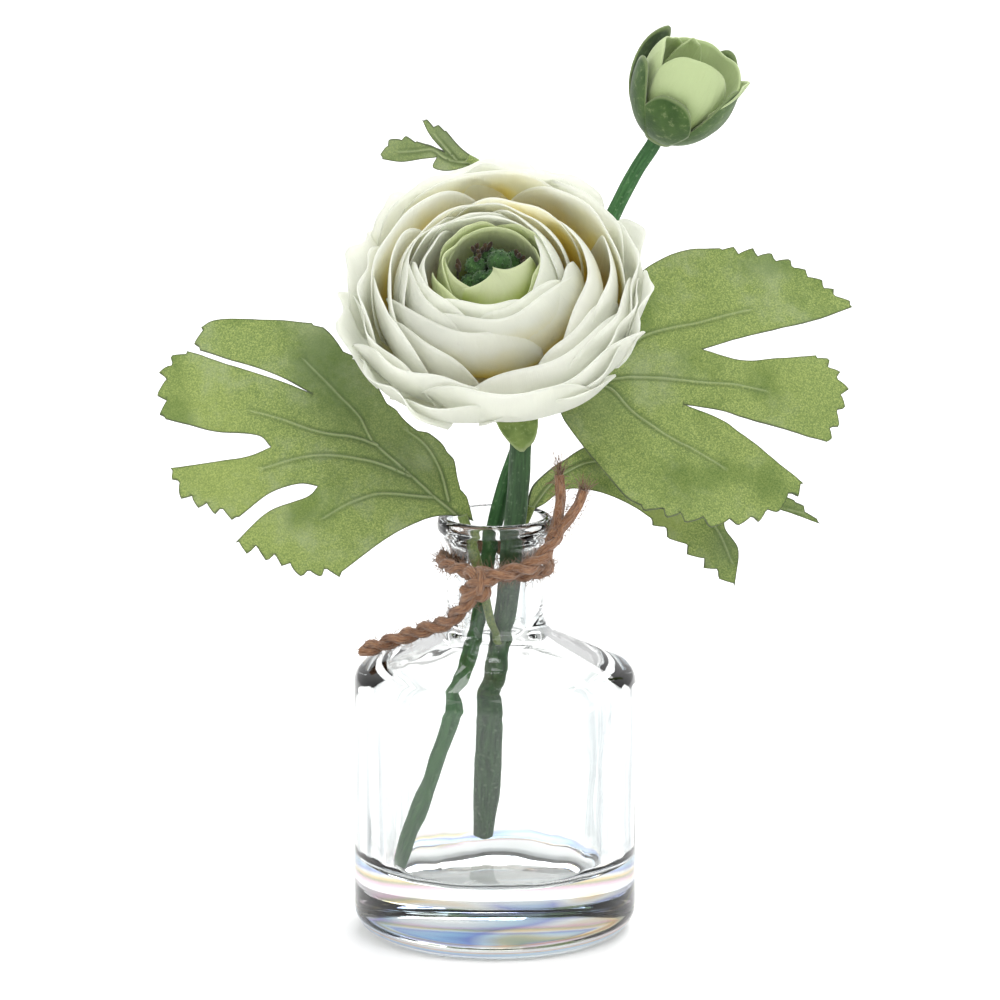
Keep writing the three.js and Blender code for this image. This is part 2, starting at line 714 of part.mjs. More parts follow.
function bloomStamens() {
  const s = STAMENS;
  const [inner, outer] = s.ring;
  const crown = s.foot + s.height;
  const collar = [[inner, s.foot], [outer, s.foot], [outer, crown], [inner, crown], [inner, s.foot]];
  const middle = (inner + outer) / 2;
  const filaments = Array.from({ length: s.count }, (_, i) => {
    const angle = ((i + 0.3 * scatter(i, 7)) / s.count) * 2 * Math.PI;
    const top = s.top - 2 * scatter(i, 8);
    const at = (radius, height) => [radius * Math.cos(angle), radius * Math.sin(angle), height];
    const tip = at(middle + s.lean, top);
    const line = route([at(middle, s.foot + 0.3), at(middle + s.lean, lerp(s.foot, top, 0.5)), tip]);
    const anther = new THREE.OctahedronGeometry(1, 0).scale(0.6, 0.6, 1.3).translate(...tip);
    return [rod(line, [s.filament, s.filament * 0.8], 3, 4), anther];
  });
  return fused([turned(collar, 20), ...filaments.flat()]);
}

function bloomCalyx() {
  const c = CALYX;
  const cup = [
    [0, c.foot], [3, c.foot], [4.4, c.foot + 1.2], [c.radius, c.foot + 3], [c.radius - 0.6, c.top],
    [0, c.top],
  ];
  const sepals = c.angles.map((angle, i) => petal(c.sepal, {
    angle,
    halfWidth: c.halfWidth,
    start: 0.02,
    end: c.lengths[i],
    round: 0.55,
    power: 1.6,
    grid: [4, 4],
    thickness: 0.8,
  }));
  return fused([turned(cup, 16), ...sepals]);
}

// ---------------------------------------------------------------- bud

function budPetals() {
  const steps = 5;
  const side = Array.from({ length: steps + 1 }, (_, i) => alongProfile(BUD.core, i / steps));
  const core = turned([[0, side[0][1]], ...side, [0, side[steps][1] - 1.5]], 10);
  const petals = BUD.petals.flatMap((ring, number) => Array.from({ length: ring.count }, (_, i) => petal(
    { root: [2, 2], belly: [ring.belly, 4], shoulder: ring.shoulder, rim: ring.rim },
    {
      angle: ((i + 0.5 * number) / ring.count) * 2 * Math.PI + 0.15,
      halfWidth: (0.48 * 2 * Math.PI) / ring.count,
      start: ring.start,
      round: 0.16,
      sink: 1.2,
      grid: [4, 4],
      thickness: 0.7,
    },
  )));
  return fused([core, ...petals]);
}

function budSepals() {
  const c = BUD_CUP;
  const seat = [[0, c.foot], [2.2, c.foot], [3.6, c.foot + 0.6], [4.4, 0.6], [0, 0.6]];
  const sepals = c.angles.map((angle, i) => petal(c.sepal, {
    angle,
    halfWidth: c.halfWidth,
    start: 0.03,
    end: c.lengths[i],
    round: 0.5,
    power: 2.2,
    spiral: 0.15,
    grid: [4, 4],
    thickness: c.thickness,
  }));
  return fused([turned(seat, 14), ...sepals]);
}

// ---------------------------------------------------------------- the arrangement

function named(name, geometry, finish) {
  const mesh = new THREE.Mesh(geometry, new THREE.MeshStandardMaterial(finish));
  mesh.name = name;
  return mesh;
}

/** A group whose +Z leans to the front and turns to the side, standing at a seat. */
function flowerHead({ seat, lean, turn }, swing, pieces) {
  const head = new THREE.Group();
  head.position.set(...seat);
  head.rotation.set(lean, swing === 'y' ? turn : 0, swing === 'z' ? turn : 0, 'ZYX');
  head.add(...pieces);
  return head;
}

const bloomHead = flowerHead(BLOOM, 'z', [
  named('bloom_petals', bloomPetals(), FINISH.petal),
  named('bloom_heart', bloomHeart(), FINISH.heart),
  named('bloom_carpels', bloomCarpels(), FINISH.carpel),
  named('bloom_stamens', bloomStamens(), FINISH.stamen),
  named('bloom_calyx', bloomCalyx(), FINISH.sepal),
]);

const budHead = flowerHead(BUD, 'y', [
  named('bud_petals', budPetals(), FINISH.budPetal),
  named('bud_sepals', budSepals(), FINISH.sepal),
]);

const arrangement = new THREE.Group();
arrangement.add(
  named('bottle', bottle(), FINISH.glass),
  named('jute_tie', juteTie(), FINISH.jute),
  named('stem_flower', stem(STEMS.flower), FINISH.stem),
  named('stem_bud', stem(STEMS.bud), FINISH.stem),
  ...Object.entries(LEAVES).map(([name, shape]) => named(name, leaf(shape), FINISH.leaf)),
  bloomHead,
  budHead,
);

export default arrangement;
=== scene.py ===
"""Dresses a silk ranunculus standing in a small glass bottle, with a jute twine tied round its neck."""

import logging
import math
import random
from dataclasses import dataclass, field
from enum import Enum
from typing import Any

import bpy
import numpy as np
from mathutils import Matrix, Vector, geometry, noise


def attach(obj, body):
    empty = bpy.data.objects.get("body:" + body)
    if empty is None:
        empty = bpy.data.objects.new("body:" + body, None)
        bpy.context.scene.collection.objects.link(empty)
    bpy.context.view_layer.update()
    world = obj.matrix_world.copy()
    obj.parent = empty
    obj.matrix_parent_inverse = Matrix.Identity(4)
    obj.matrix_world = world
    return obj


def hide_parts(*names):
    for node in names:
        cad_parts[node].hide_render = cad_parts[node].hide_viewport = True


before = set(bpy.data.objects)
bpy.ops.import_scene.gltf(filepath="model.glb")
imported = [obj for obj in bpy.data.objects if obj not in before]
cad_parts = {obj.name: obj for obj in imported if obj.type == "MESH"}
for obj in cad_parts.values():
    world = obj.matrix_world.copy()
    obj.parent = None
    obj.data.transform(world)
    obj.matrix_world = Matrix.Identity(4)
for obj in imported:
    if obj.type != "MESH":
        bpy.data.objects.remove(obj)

LOG = logging.getLogger("ranunculus")
MM = 0.001  # sizes below are in millimetres, and meshes are in metres
BODY = "root"
SMOOTH_ANGLE = math.radians(55)  # edges flatter than this are shaded smooth
BLADE_SMOOTH_ANGLE = math.radians(60)
SPAN_STEPS = 24  # points laid between two knots of a curve, before they are spaced evenly
GOLDEN_ANGLE = 2.39996  # radians, the turn from each grain of a spiral to the next

Pair = tuple[float, float]
Triple = tuple[float, float, float]
Quad = tuple[float, float, float, float]
Colour = Quad
Stops = list[tuple[float, Colour]]
Rows = np.ndarray
Piece = bpy.types.Object
Material = bpy.types.Material
Socket = bpy.types.NodeSocket


class Slot(Enum):
    """The names of the record's material slots."""

    GLASS = "clear_glass"
    JUTE = "jute"
    STEM = "stem_green"
    LEAF = "leaf_green"
    PETAL = "petal_white"
    HEART = "petal_green"
    CARPEL = "carpel_green"
    STAMEN = "stamen_brown"
    SEPAL = "sepal_green"
    BUD = "bud_petal"


def linear(level: int) -> float:
    """One channel's level on the 0 to 255 scale of a screen, as linear light."""
    share = level / 255
    return share / 12.92 if share <= 0.04045 else ((share + 0.055) / 1.055) ** 2.4


def paint(red: int, green: int, blue: int) -> Colour:
    """A colour given on the 0 to 255 scale of a screen, as the linear values that shaders take."""
    return linear(red), linear(green), linear(blue), 1.0


# ---------------------------------------------------------------- modelling helpers


def deselect() -> None:
    """Leaves nothing selected, so that the next operator acts on its own piece only."""
    bpy.ops.object.select_all(action="DESELECT")


def pick(piece: Piece) -> None:
    """Selects one piece and makes it the active one.

    Args:
        piece: The piece to select.
    """
    deselect()
    piece.select_set(True)
    bpy.context.view_layer.objects.active = piece


def coordinates(piece: Piece) -> Rows:
    """The piece's vertices as rows of x, y, z.

    Args:
        piece: The piece to read.

    Returns:
        One row for each vertex, in metres.
    """
    flat = np.empty(len(piece.data.vertices) * 3, np.float32)
    piece.data.vertices.foreach_get("co", flat)
    return flat.reshape(-1, 3).astype(float)


def set_coordinates(piece: Piece, points: Rows) -> None:
    """Moves the piece's vertices to rows of x, y, z."""
    piece.data.vertices.foreach_set("co", points.astype(np.float32).ravel())
    piece.data.update()


def add_attribute(piece: Piece, name: str, values: Rows | float) -> None:
    """Stores a number for each vertex, which a material can read by its name."""
    layer = piece.data.attributes.new(name, "FLOAT", "POINT")
    layer.data.foreach_set("value", np.broadcast_to(values, len(piece.data.vertices)).astype(np.float32))


def modify(piece: Piece, kind: str, **settings: Any) -> None:
    """Adds one modifier to a piece and applies it.

    Args:
        piece: The piece to change.
        kind: Blender's name for the modifier.
        settings: The modifier's own settings.
    """
    pick(piece)
    modifier = piece.modifiers.new(kind.title(), kind)
    for name, value in settings.items():
        setattr(modifier, name, value)
    bpy.ops.object.modifier_apply(modifier=modifier.name)


def joined(name: str, pieces: list[Piece]) -> Piece:
    """Joins several pieces into one mesh.

    Args:
        name: The joined piece's name.
        pieces: What is joined; the first one keeps its object.

    Returns:
        The joined piece.
    """
    pick(pieces[0])
    for piece in pieces[1:]:
        piece.select_set(True)
    if len(pieces) > 1:
        bpy.ops.object.join()
    pieces[0].name = name
    pieces[0].data.name = name
    return pieces[0]


@dataclass
class Shape:
    """Points in millimetres, the corners of each face, and a UV place for each corner of each face."""

    points: Rows
    faces: list[tuple[int, ...]]
    flat: list[Pair] | Rows

    @staticmethod
    def gathered(shapes: list["Shape"]) -> "Shape":
        """Several shapes as one.

        Args:
            shapes: The shapes, in order.

        Returns:
            One shape with all their points and faces.
        """
        points, faces, flat, base = [], [], [], 0
        for shape in shapes:
            points.append(shape.points)
            faces += [tuple(corner + base for corner in face) for face in shape.faces]
            flat += list(shape.flat)
            base += len(shape.points)
        return Shape(np.vstack(points), faces, flat)

    def piece(self, name: str) -> Piece:
        """A piece with this shape, in the scene and shaded smooth.

        Args:
            name: The piece's name.

        Returns:
            The new piece, which is left selected.
        """
        mesh = bpy.data.meshes.new(name)
        mesh.from_pydata((self.points * MM).tolist(), [], self.faces)
        layer = mesh.uv_layers.new(name="UVMap")
        layer.data.foreach_set("uv", np.asarray(self.flat, np.float32).ravel())
        piece = bpy.data.objects.new(name, mesh)
        bpy.context.scene.collection.objects.link(piece)
        pick(piece)
        bpy.ops.object.shade_smooth_by_angle(angle=SMOOTH_ANGLE)
        return piece


def settle(piece: Piece, finish: Material, slot: Slot, *nodes: str) -> Piece:
    """Dresses a finished piece and fastens it to the frame.

    Args:
        piece: The finished piece.
        finish: Its material.
        slot: The record's slot for that finish; it is not used.
        nodes: The CAD nodes that it stands for.

    Returns:
        The same piece.
    """
    piece.data.materials.clear()
    piece.data.materials.append(finish)
    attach(piece, BODY)
    if nodes:
        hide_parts(*nodes)
    return piece


def turned_piece(name: str, profile: list[Pair], steps: int) -> Piece:
    """Turns a profile round the Z axis: one vertex is extruded along the profile and spun.

    Args:
        name: The piece's name.
        profile: (radius, height) in millimetres; its ends lie on the axis, or it is closed.
        steps: The number of facets round the axis.

    Returns:
        The turned piece, closed, with its faces pointing out.
    """
    start = Vector((profile[0][0] * MM, 0, profile[0][1] * MM))
    bpy.ops.mesh.primitive_plane_add(size=2 * MM, location=(0, 0, 0))
    piece = bpy.context.object
    piece.name = name
    bpy.ops.object.mode_set(mode="EDIT")
    bpy.ops.mesh.merge(type="CENTER")
    bpy.ops.transform.translate(value=start)
    for (r0, h0), (r1, h1) in zip(profile, profile[1:]):
        bpy.ops.mesh.extrude_region_move(
            TRANSFORM_OT_translate={"value": ((r1 - r0) * MM, 0, (h1 - h0) * MM)})
    bpy.ops.mesh.select_all(action="SELECT")
    bpy.ops.mesh.spin(steps=steps, angle=math.tau, center=(0, 0, 0), axis=(0, 0, 1))
    bpy.ops.mesh.select_all(action="SELECT")
    bpy.ops.mesh.remove_doubles(threshold=0.004 * MM)
    bpy.ops.mesh.normals_make_consistent(inside=False)
    bpy.ops.object.mode_set(mode="OBJECT")
    bpy.ops.object.shade_smooth()
    return piece


def smooth_path(points: list[Any] | Rows, spacing: float) -> Rows:
    """Evenly spaced points along a centripetal Catmull-Rom curve.

    Args:
        points: The points that the curve passes through.
        spacing: The wanted distance between neighbours.

    Returns:
        The curve's points, both ends included.
    """
    knots = np.asarray(points, float)
    knots = np.vstack([2 * knots[0] - knots[1], knots, 2 * knots[-1] - knots[-2]])
    fine = []
    for p0, p1, p2, p3 in zip(knots, knots[1:], knots[2:], knots[3:]):
        t1 = max(np.linalg.norm(p1 - p0), 1e-9) ** 0.5
        t2 = t1 + max(np.linalg.norm(p2 - p1), 1e-9) ** 0.5
        t3 = t2 + max(np.linalg.norm(p3 - p2), 1e-9) ** 0.5
        t = np.linspace(t1, t2, SPAN_STEPS, endpoint=False)[:, None]
        a1 = p0 * (t1 - t) / t1 + p1 * t / t1
        a2 = p1 * (t2 - t) / (t2 - t1) + p2 * (t - t1) / (t2 - t1)
        a3 = p2 * (t3 - t) / (t3 - t2) + p3 * (t - t2) / (t3 - t2)
        b1 = a1 * (t2 - t) / t2 + a2 * t / t2
        b2 = a2 * (t3 - t) / (t3 - t1) + a3 * (t - t1) / (t3 - t1)
        fine.append(b1 * (t2 - t) / (t2 - t1) + b2 * (t - t1) / (t2 - t1))
    curve = np.vstack([*fine, knots[-2:-1]])
    along = path_length(curve)
    count = max(2, round(along[-1] / spacing))
    even = np.linspace(0, along[-1], count + 1)
    return np.stack([np.interp(even, along, curve[:, axis]) for axis in range(curve.shape[1])], axis=1)


def path_length(line: Rows) -> Rows:
    """The distance along a line of points, at each point."""
    return np.concatenate([[0], np.cumsum(np.linalg.norm(np.diff(line, axis=0), axis=1))])


def path_frames(line: Rows, closed: bool = False) -> tuple[Rows, Rows]:
    """Two directions across a line at each point, carried along it without twist.

    Args:
        line: Points along the line.
        closed: Whether the last point is next to the first.

    Returns:
        The first and the second direction, as rows of unit vectors.
    """
    tangents = np.roll(line, -1, 0) - np.roll(line, 1, 0) if closed else np.gradient(line, axis=0)
    tangents /= np.linalg.norm(tangents, axis=1, keepdims=True)
    side = np.cross(tangents[0], (0, 0, 1.0))
    if np.linalg.norm(side) < 0.1:
        side = np.cross(tangents[0], (0, 1.0, 0))
    firsts = []
    for tangent in tangents:
        side = side - tangent * (side @ tangent)
        side /= np.linalg.norm(side)
        firsts.append(side)
    firsts = np.array(firsts)
    return firsts, np.cross(tangents, firsts)


@dataclass(frozen=True)
class Yarns:
    """How many yarns show round a tube, how far they stand out, and the length in which they turn once."""

    count: int = 0
    relief: float = 0.0
    lay: float = 1e6


def swept(line: Rows, radius: Rows | float, sides: int, closed: bool = False,
          yarns: Yarns = Yarns()) -> Shape:
    """A tube along a line. Its rings are laid in code, because a cord's lay turns with its own length.

    Args:
        line: Points along its middle, in millimetres.
        radius: Its radius, one for each point or the same for all.
        sides: The number of sides.
        closed: Whether it runs back into itself.
        yarns: The yarns or flutes that show on it.

    Returns:
        The tube; its UV map runs once round it and along its length in millimetres.
    """
    rings = len(line)
    firsts, seconds = path_frames(line, closed)
    along = path_length(line)
    radii = np.broadcast_to(radius, rings)[:, None]
    turn = np.linspace(0, math.tau, sides, endpoint=False)[None, :]
    reach = radii * (1 + yarns.relief * np.cos(yarns.count * turn + math.tau * along[:, None] / yarns.lay))
    ring = firsts[:, None, :] * np.cos(turn)[..., None] + seconds[:, None, :] * np.sin(turn)[..., None]
    points = (line[:, None, :] + ring * reach[..., None]).reshape(-1, 3)
    faces, flat = [], []
    for i in range(rings if closed else rings - 1):
        onward = (i + 1) % rings
        far = along[i] + np.linalg.norm(line[onward] - line[i])
        for j in range(sides):
            k = (j + 1) % sides
            faces.append((i * sides + j, i * sides + k, onward * sides + k, onward * sides + j))
            left, right = j / sides, (j + 1) / sides
            flat += [(left, along[i]), (right, along[i]), (right, far), (left, far)]
    if not closed:
        faces.append(tuple(range(sides))[::-1])
        faces.append(tuple(range((rings - 1) * sides, rings * sides)))
        flat += [(0.5, 0.0)] * sides + [(0.5, along[-1])] * sides
    return Shape(points, faces, flat)


# ---------------------------------------------------------------- finishes


class Wiring:
    """The node tree of a material or of the world, with short calls for the nodes in use here."""

    def __init__(self, owner: Any, output: str = "ShaderNodeOutputMaterial") -> None:
        """Starts an empty tree in its owner, with an output node of this type.

        Args:
            owner: The material or world that the tree belongs to.
            output: The type of the output node.
        """
        self.owner = owner
        owner.use_nodes = True
        self.tree = owner.node_tree
        self.tree.nodes.clear()
        self.output = self.tree.nodes.new(output)

    def node(self, kind: str, inputs: dict[str | int, Any] | None = None, **settings: Any) -> bpy.types.Node:
        """Adds a node.

        Args:
            kind: The node's type.
            inputs: For each socket, by name or number, a value or the output that feeds it.
            settings: The node's own settings.

        Returns:
            The new node.
        """
        made = self.tree.nodes.new(kind)
        for name, value in settings.items():
            setattr(made, name, value)
        for key, value in (inputs or {}).items():
            if isinstance(value, Socket):
                self.tree.links.new(value, made.inputs[key])
            else:
                made.inputs[key].default_value = value
        return made

    def place(self) -> Socket:
        """Object coordinates."""
        return self.node("ShaderNodeTexCoord").outputs["Object"]

    def flat(self) -> Socket:
        """The piece's own UV map."""
        return self.node("ShaderNodeTexCoord").outputs["UV"]

    def stored(self, name: str) -> Socket:
        """A number stored on the piece's vertices."""
        return self.node("ShaderNodeAttribute", attribute_name=name).outputs["Fac"]

    def scaled(self, vector: Socket, scale: Triple) -> Socket:
        """Coordinates stretched by a factor along each axis."""
        return self.node("ShaderNodeMapping", {"Vector": vector, "Scale": scale}).outputs["Vector"]

    def speckle(self, vector: Socket, scale: float, detail: float = 3.0,
                roughness: float = 0.5) -> Socket:
        """Noise from 0 to 1 in a pattern of this scale."""
        return self.node("ShaderNodeTexNoise", {
            "Vector": vector, "Scale": scale, "Detail": detail, "Roughness": roughness}).outputs["Fac"]

    def ramp(self, factor: Socket, stops: Stops) -> Socket:
        """Colours laid along a factor from 0 to 1.

        Args:
            factor: What the colours are laid along.
            stops: The place and the colour of each stop, in order.

        Returns:
            The colour.
        """
        made = self.node("ShaderNodeValToRGB", {"Fac": factor})
        elements = made.color_ramp.elements
        elements[0].position, elements[0].color = stops[0]
        elements[1].position, elements[1].color = stops[-1]
        for position, colour in stops[1:-1]:
            elements.new(position).color = colour
        return made.outputs["Color"]

    def mixed(self, factor: Any, first: Any, second: Any) -> Socket:
        """A colour between two, by a factor."""
        made = self.node("ShaderNodeMix", {0: factor, 6: first, 7: second}, data_type="RGBA")
        return made.outputs[2]

    def sums(self, operation: str, first: Any, second: Any = 0.0, clamp: bool = False) -> Socket:
        """One step of arithmetic."""
        made = self.node("ShaderNodeMath", {0: first, 1: second}, operation=operation, use_clamp=clamp)
        return made.outputs["Value"]

    def times(self, first: Any, second: Any) -> Socket:
        """A product."""
        return self.sums("MULTIPLY", first, second)

    def off(self, value: Socket, middle: float) -> Socket:
        """How far a value lies from a middle."""
        return self.sums("ABSOLUTE", self.sums("SUBTRACT", value, middle))

    def laid(self, under: Any, over: Any, mask: Any, share: float) -> Socket:
        """A colour laid over another where a mask is 1, by at most this share."""
        return self.mixed(self.times(mask, share), under, over)

    def between(self, value: Any, low: float, high: float) -> Socket:
        """0 below low and 1 above high, smooth between; the other way round where low is the higher.

        Args:
            value: What is compared.
            low: Where the result is 0.
            high: Where the result is 1.

        Returns:
            A share from 0 to 1.
        """
        made = self.node("ShaderNodeMapRange", {"Value": value, "From Min": low, "From Max": high},
                         interpolation_type="SMOOTHSTEP")
        return made.outputs["Result"]

    def level(self, height: Socket, low: float, high: float) -> Socket:
        """As between(), for limits in millimetres."""
        return self.between(height, low * MM, high * MM)

    def parts(self, vector: Socket) -> bpy.types.NodeOutputs:
        """The X, Y and Z of a vector."""
        return self.node("ShaderNodeSeparateXYZ", {"Vector": vector}).outputs

    def bump(self, height: Socket, strength: float, distance: float,
             under: Socket | None = None) -> Socket:
        """A normal bent by a height, over another one if it is given.

        Args:
            height: The height that bends the normal.
            strength: How much of the bend is kept, from 0 to 1.
            distance: What a height of 1 stands for, in metres.
            under: The normal that this one is laid over.

        Returns:
            The bent normal.
        """
        inputs: dict[str | int, Any] = {"Height": height, "Strength": strength, "Distance": distance}
        if under is not None:
            inputs["Normal"] = under
        return self.node("ShaderNodeBump", inputs).outputs["Normal"]

    def matt(self, colour: Socket, normal: Socket, roughness: float, specular: float,
             sheen: Pair = (0.0, 0.5)) -> Socket:
        """A matt surface, with the weight and the roughness of its sheen.

        Args:
            colour: Its colour.
            normal: Its normal.
            roughness: How dull it is, from 0 to 1.
            specular: Its specular level.
            sheen: The weight and the roughness of its sheen.

        Returns:
            The shader.
        """
        return self.node("ShaderNodeBsdfPrincipled", {
            "Base Color": colour, "Roughness": roughness, "Specular IOR Level": specular,
            "Sheen Weight": sheen[0], "Sheen Roughness": sheen[1], "Normal": normal}).outputs["BSDF"]

    def thin(self, surface: Socket, colour: Socket, normal: Socket, share: float) -> Socket:
        """A surface that lets a share of the light through as well."""
        through = self.node("ShaderNodeBsdfTranslucent", {"Color": colour, "Normal": normal})
        return self.node("ShaderNodeMixShader", {0: share, 1: surface, 2: through.outputs[0]}).outputs[0]

    def finished(self, shader: Socket,
                 volume: Socket | None = None) -> Any:
        """Feeds the output with its shader, and its volume if it has one.

        Args:
            shader: The surface.
            volume: What fills the body, for glass.

        Returns:
            The material or world that the tree belongs to.
        """
        self.tree.links.new(shader, self.output.inputs["Surface"])
        if volume is not None:
            self.tree.links.new(volume, self.output.inputs["Volume"])
        return self.owner


@dataclass(frozen=True)
class GlassFinish:
    """Clear pressed glass: a little wavy, with painted rainbow colours of light split by the thick base, and
    painted shade in streaks down its two sides.
    """

    name: str = "clear_pressed_glass"
    clear: Colour = (0.985, 0.995, 0.99, 1.0)
    refraction: float = 1.43
    density: float = 7.0  # how fast the glass body dims the light, per metre
    body: Colour = (0.74, 0.80, 0.80, 1.0)
    base_top: float = 17.0  # millimetres above the foot, as are the next three
    rainbow_foot: Pair = (2.5, 5.5)
    wall_top: Pair = (66.0, 58.0)  # where the painted side shade ends below the shoulder
    neck_foot: Pair = (76.0, 80.0)  # where it begins again on the neck
    painted_side_shade: Colour = (0.38, 0.42, 0.44, 1.0)  # painted shade in soft streaks down the bottle's two sides, for the dark edges that refraction gives

    def material(self) -> Material:
        """The glass as a material.

        Returns:
            The finished material.
        """
        w = Wiring(bpy.data.materials.new(self.name))
        place = w.place()
        x, y, height = w.parts(place)
        stretched = w.scaled(place, (22.0, 22.0, 120.0))
        bands = w.speckle(stretched, 1.0, 1.0)
        # painted rainbow: the colours that the thick base splits light into, put into the glass's own colour
        painted_rainbow = w.ramp(bands, [
            (0.30, self.clear), (0.38, paint(150, 205, 245)), (0.43, paint(96, 116, 215)),
            (0.47, paint(246, 246, 240)), (0.51, paint(250, 200, 110)), (0.55, paint(150, 146, 80)),
            (0.60, paint(226, 160, 190)), (0.68, self.clear)])
        inside = w.times(w.level(height, self.base_top, self.base_top - 2.5),
                         w.level(height, *self.rainbow_foot))
        colour = w.laid(self.clear, painted_rainbow, inside, 0.9)
        away = w.sums("SQRT", w.sums("ADD", w.times(x, x), w.times(y, y)))
        # painted shade: the bottle's two sides, as seen from the front, are greyed in streaks where
        # refraction darkens the glass
        aside = w.between(w.sums("DIVIDE", w.sums("ABSOLUTE", x), away), 0.64, 0.86)
        streaks = w.between(w.speckle(w.scaled(place, (230.0, 230.0, 9.0)), 1.0, 2.0), 0.44, 0.6)
        wall = w.times(w.level(height, self.base_top, self.base_top + 5),
                       w.level(height, *self.wall_top))
        upright = w.sums("MAXIMUM", wall, w.level(height, *self.neck_foot))
        painted_side_mask = w.times(w.times(aside, streaks), upright)
        colour = w.laid(colour, self.painted_side_shade, painted_side_mask, 0.9)
        waves = w.speckle(w.scaled(place, (60.0, 60.0, 26.0)), 1.0, 1.0)
        grain = w.speckle(place, 420.0, 2.0)
        normal = w.bump(grain, 0.03, 0.2 * MM, w.bump(waves, 0.10, 1.2 * MM))
        shader = w.node("ShaderNodeBsdfPrincipled", {
            "Base Color": colour, "Roughness": 0.0, "IOR": self.refraction,
            "Transmission Weight": 1.0, "Normal": normal})
        volume = w.node("ShaderNodeVolumeAbsorption", {"Color": self.body, "Density": self.density})
        return w.finished(shader.outputs["BSDF"], volume.outputs["Volume"])


@dataclass(frozen=True)
class SilkFinish:
    """Woven silk: deep colour at the root, partly its cream base and partly painted warm shade between the
    layers; pale at the rim, with painted highlight on its cut edges, a fine weave and some light through it.
    """

    name: str
    # the root colour is partly the silk's cream and partly painted warm shade deep between the petals
    root: Colour
    body: Colour
    rim: Colour
    threads: Pair = (40.0, 34.0)  # threads of the weave across and along a petal
    glow: float = 0.35  # share of the light that it lets through

    def material(self) -> Material:
        """The silk as a material.

        Returns:
            The finished material.
        """
        w = Wiring(bpy.data.materials.new(self.name))
        flat = w.flat()
        side, along, _ = w.parts(flat)
        # painted shade: the deep root colour, the warm shade of the gaps between layers, reaches as far up as
        # this stored number says
        root_tint_and_shade = w.stored("root_tint_and_shade")
        mottle = w.speckle(w.place(), 110.0, 3.0)
        reach = w.sums("ADD", root_tint_and_shade, w.times(w.sums("SUBTRACT", mottle, 0.5), 0.4))
        past = w.sums("SUBTRACT", along, reach)
        colour = w.mixed(w.between(past, -0.22, 0.12), self.root, self.body)
        colour = w.mixed(w.between(past, 0.05, 0.34), colour, self.rim)
        # painted highlight: the cut edges and the rim are lightened for the light that catches them
        edge = w.off(side, 0.5)
        border = w.sums("MAXIMUM", w.between(edge, 0.482, 0.496), w.between(along, 0.972, 0.992))
        colour = w.laid(colour, self.rim, border, 0.7)
        warp, weft = (
            w.node("ShaderNodeTexWave", {
                "Vector": flat, "Scale": scale, "Distortion": 1.5, "Detail Scale": 2.0},
                bands_direction=axis).outputs["Fac"]
            for axis, scale in zip("XY", self.threads))
        weave = w.sums("ADD", warp, weft)
        creases = w.speckle(w.scaled(flat, (16.0, 1.6, 1.0)), 1.0, 4.0, 0.6)
        normal = w.bump(weave, 0.16, 0.12 * MM, w.bump(creases, 0.45, 0.9 * MM))
        shade = w.node("ShaderNodeMath", {0: weave, 1: 0.05, 2: 0.93}, operation="MULTIPLY_ADD").outputs[0]
        woven = w.node("ShaderNodeMix", {0: 1.0, 6: colour, 7: shade}, data_type="RGBA",
                       blend_type="MULTIPLY").outputs[2]
        cloth = w.matt(woven, normal, 0.6, 0.3, (0.2, 0.4))
        return w.finished(w.thin(cloth, colour, normal, self.glow))


@dataclass(frozen=True)
class LeafFinish:
    """Flocked leaf cloth: speckled greens, pale pressed veins with painted shade in the pressed hollows
    beside them, and a dark cut edge.
    """

    name: str = "flocked_leaf"
    deep: Colour = paint(76, 104, 38)
    middle: Colour = paint(122, 144, 62)
    light: Colour = paint(170, 182, 98)
    dark_tone: Colour = paint(78, 100, 58)
    light_tone: Colour = paint(156, 170, 76)
    frost: Colour = paint(158, 170, 132)
    vein: Colour = paint(182, 194, 146)
    edge: Colour = paint(62, 72, 50)
    glow: float = 0.12  # share of the light that it lets through

    def material(self) -> Material:
        """The leaf cloth as a material.

        Returns:
            The finished material.
        """
        w = Wiring(bpy.data.materials.new(self.name))
        place = w.place()
        grains = w.speckle(place, 2400.0, 3.0, 0.8)
        colour = w.ramp(grains, [(0.36, self.deep), (0.5, self.middle), (0.64, self.light)])
        tone = w.stored("tone")
        colour = w.laid(colour, self.dark_tone, w.between(tone, 0.5, 1.0), 0.75)
        colour = w.laid(colour, self.light_tone, w.between(tone, 0.5, 0.0), 0.6)
        patches = w.speckle(place, 60.0, 5.0, 0.65)
        frosted = w.sums("ADD", w.times(w.between(patches, 0.48, 0.72), 0.5), w.stored("frost"))
        colour = w.mixed(w.sums("MULTIPLY", frosted, 0.8, clamp=True), colour, self.frost)
        shade = w.speckle(place, 46.0, 4.0)
        colour = w.laid(colour, self.deep, w.between(shade, 0.5, 0.68), 0.5)
        # painted shade in the pressed hollows beside the veins
        colour = w.laid(colour, self.dark_tone, w.stored("groove_shade"), 0.8)
        colour = w.laid(colour, self.vein, w.stored("vein"), 0.6)
        colour = w.laid(colour, self.edge, w.stored("margin"), 0.85)
        fibres = w.speckle(place, 1500.0, 3.0, 0.7)
        normal = w.bump(grains, 0.3, 0.15 * MM, w.bump(fibres, 0.25, 0.25 * MM))
        cloth = w.matt(colour, normal, 0.85, 0.2, (0.3, 0.5))
        return w.finished(w.thin(cloth, colour, normal, self.glow))


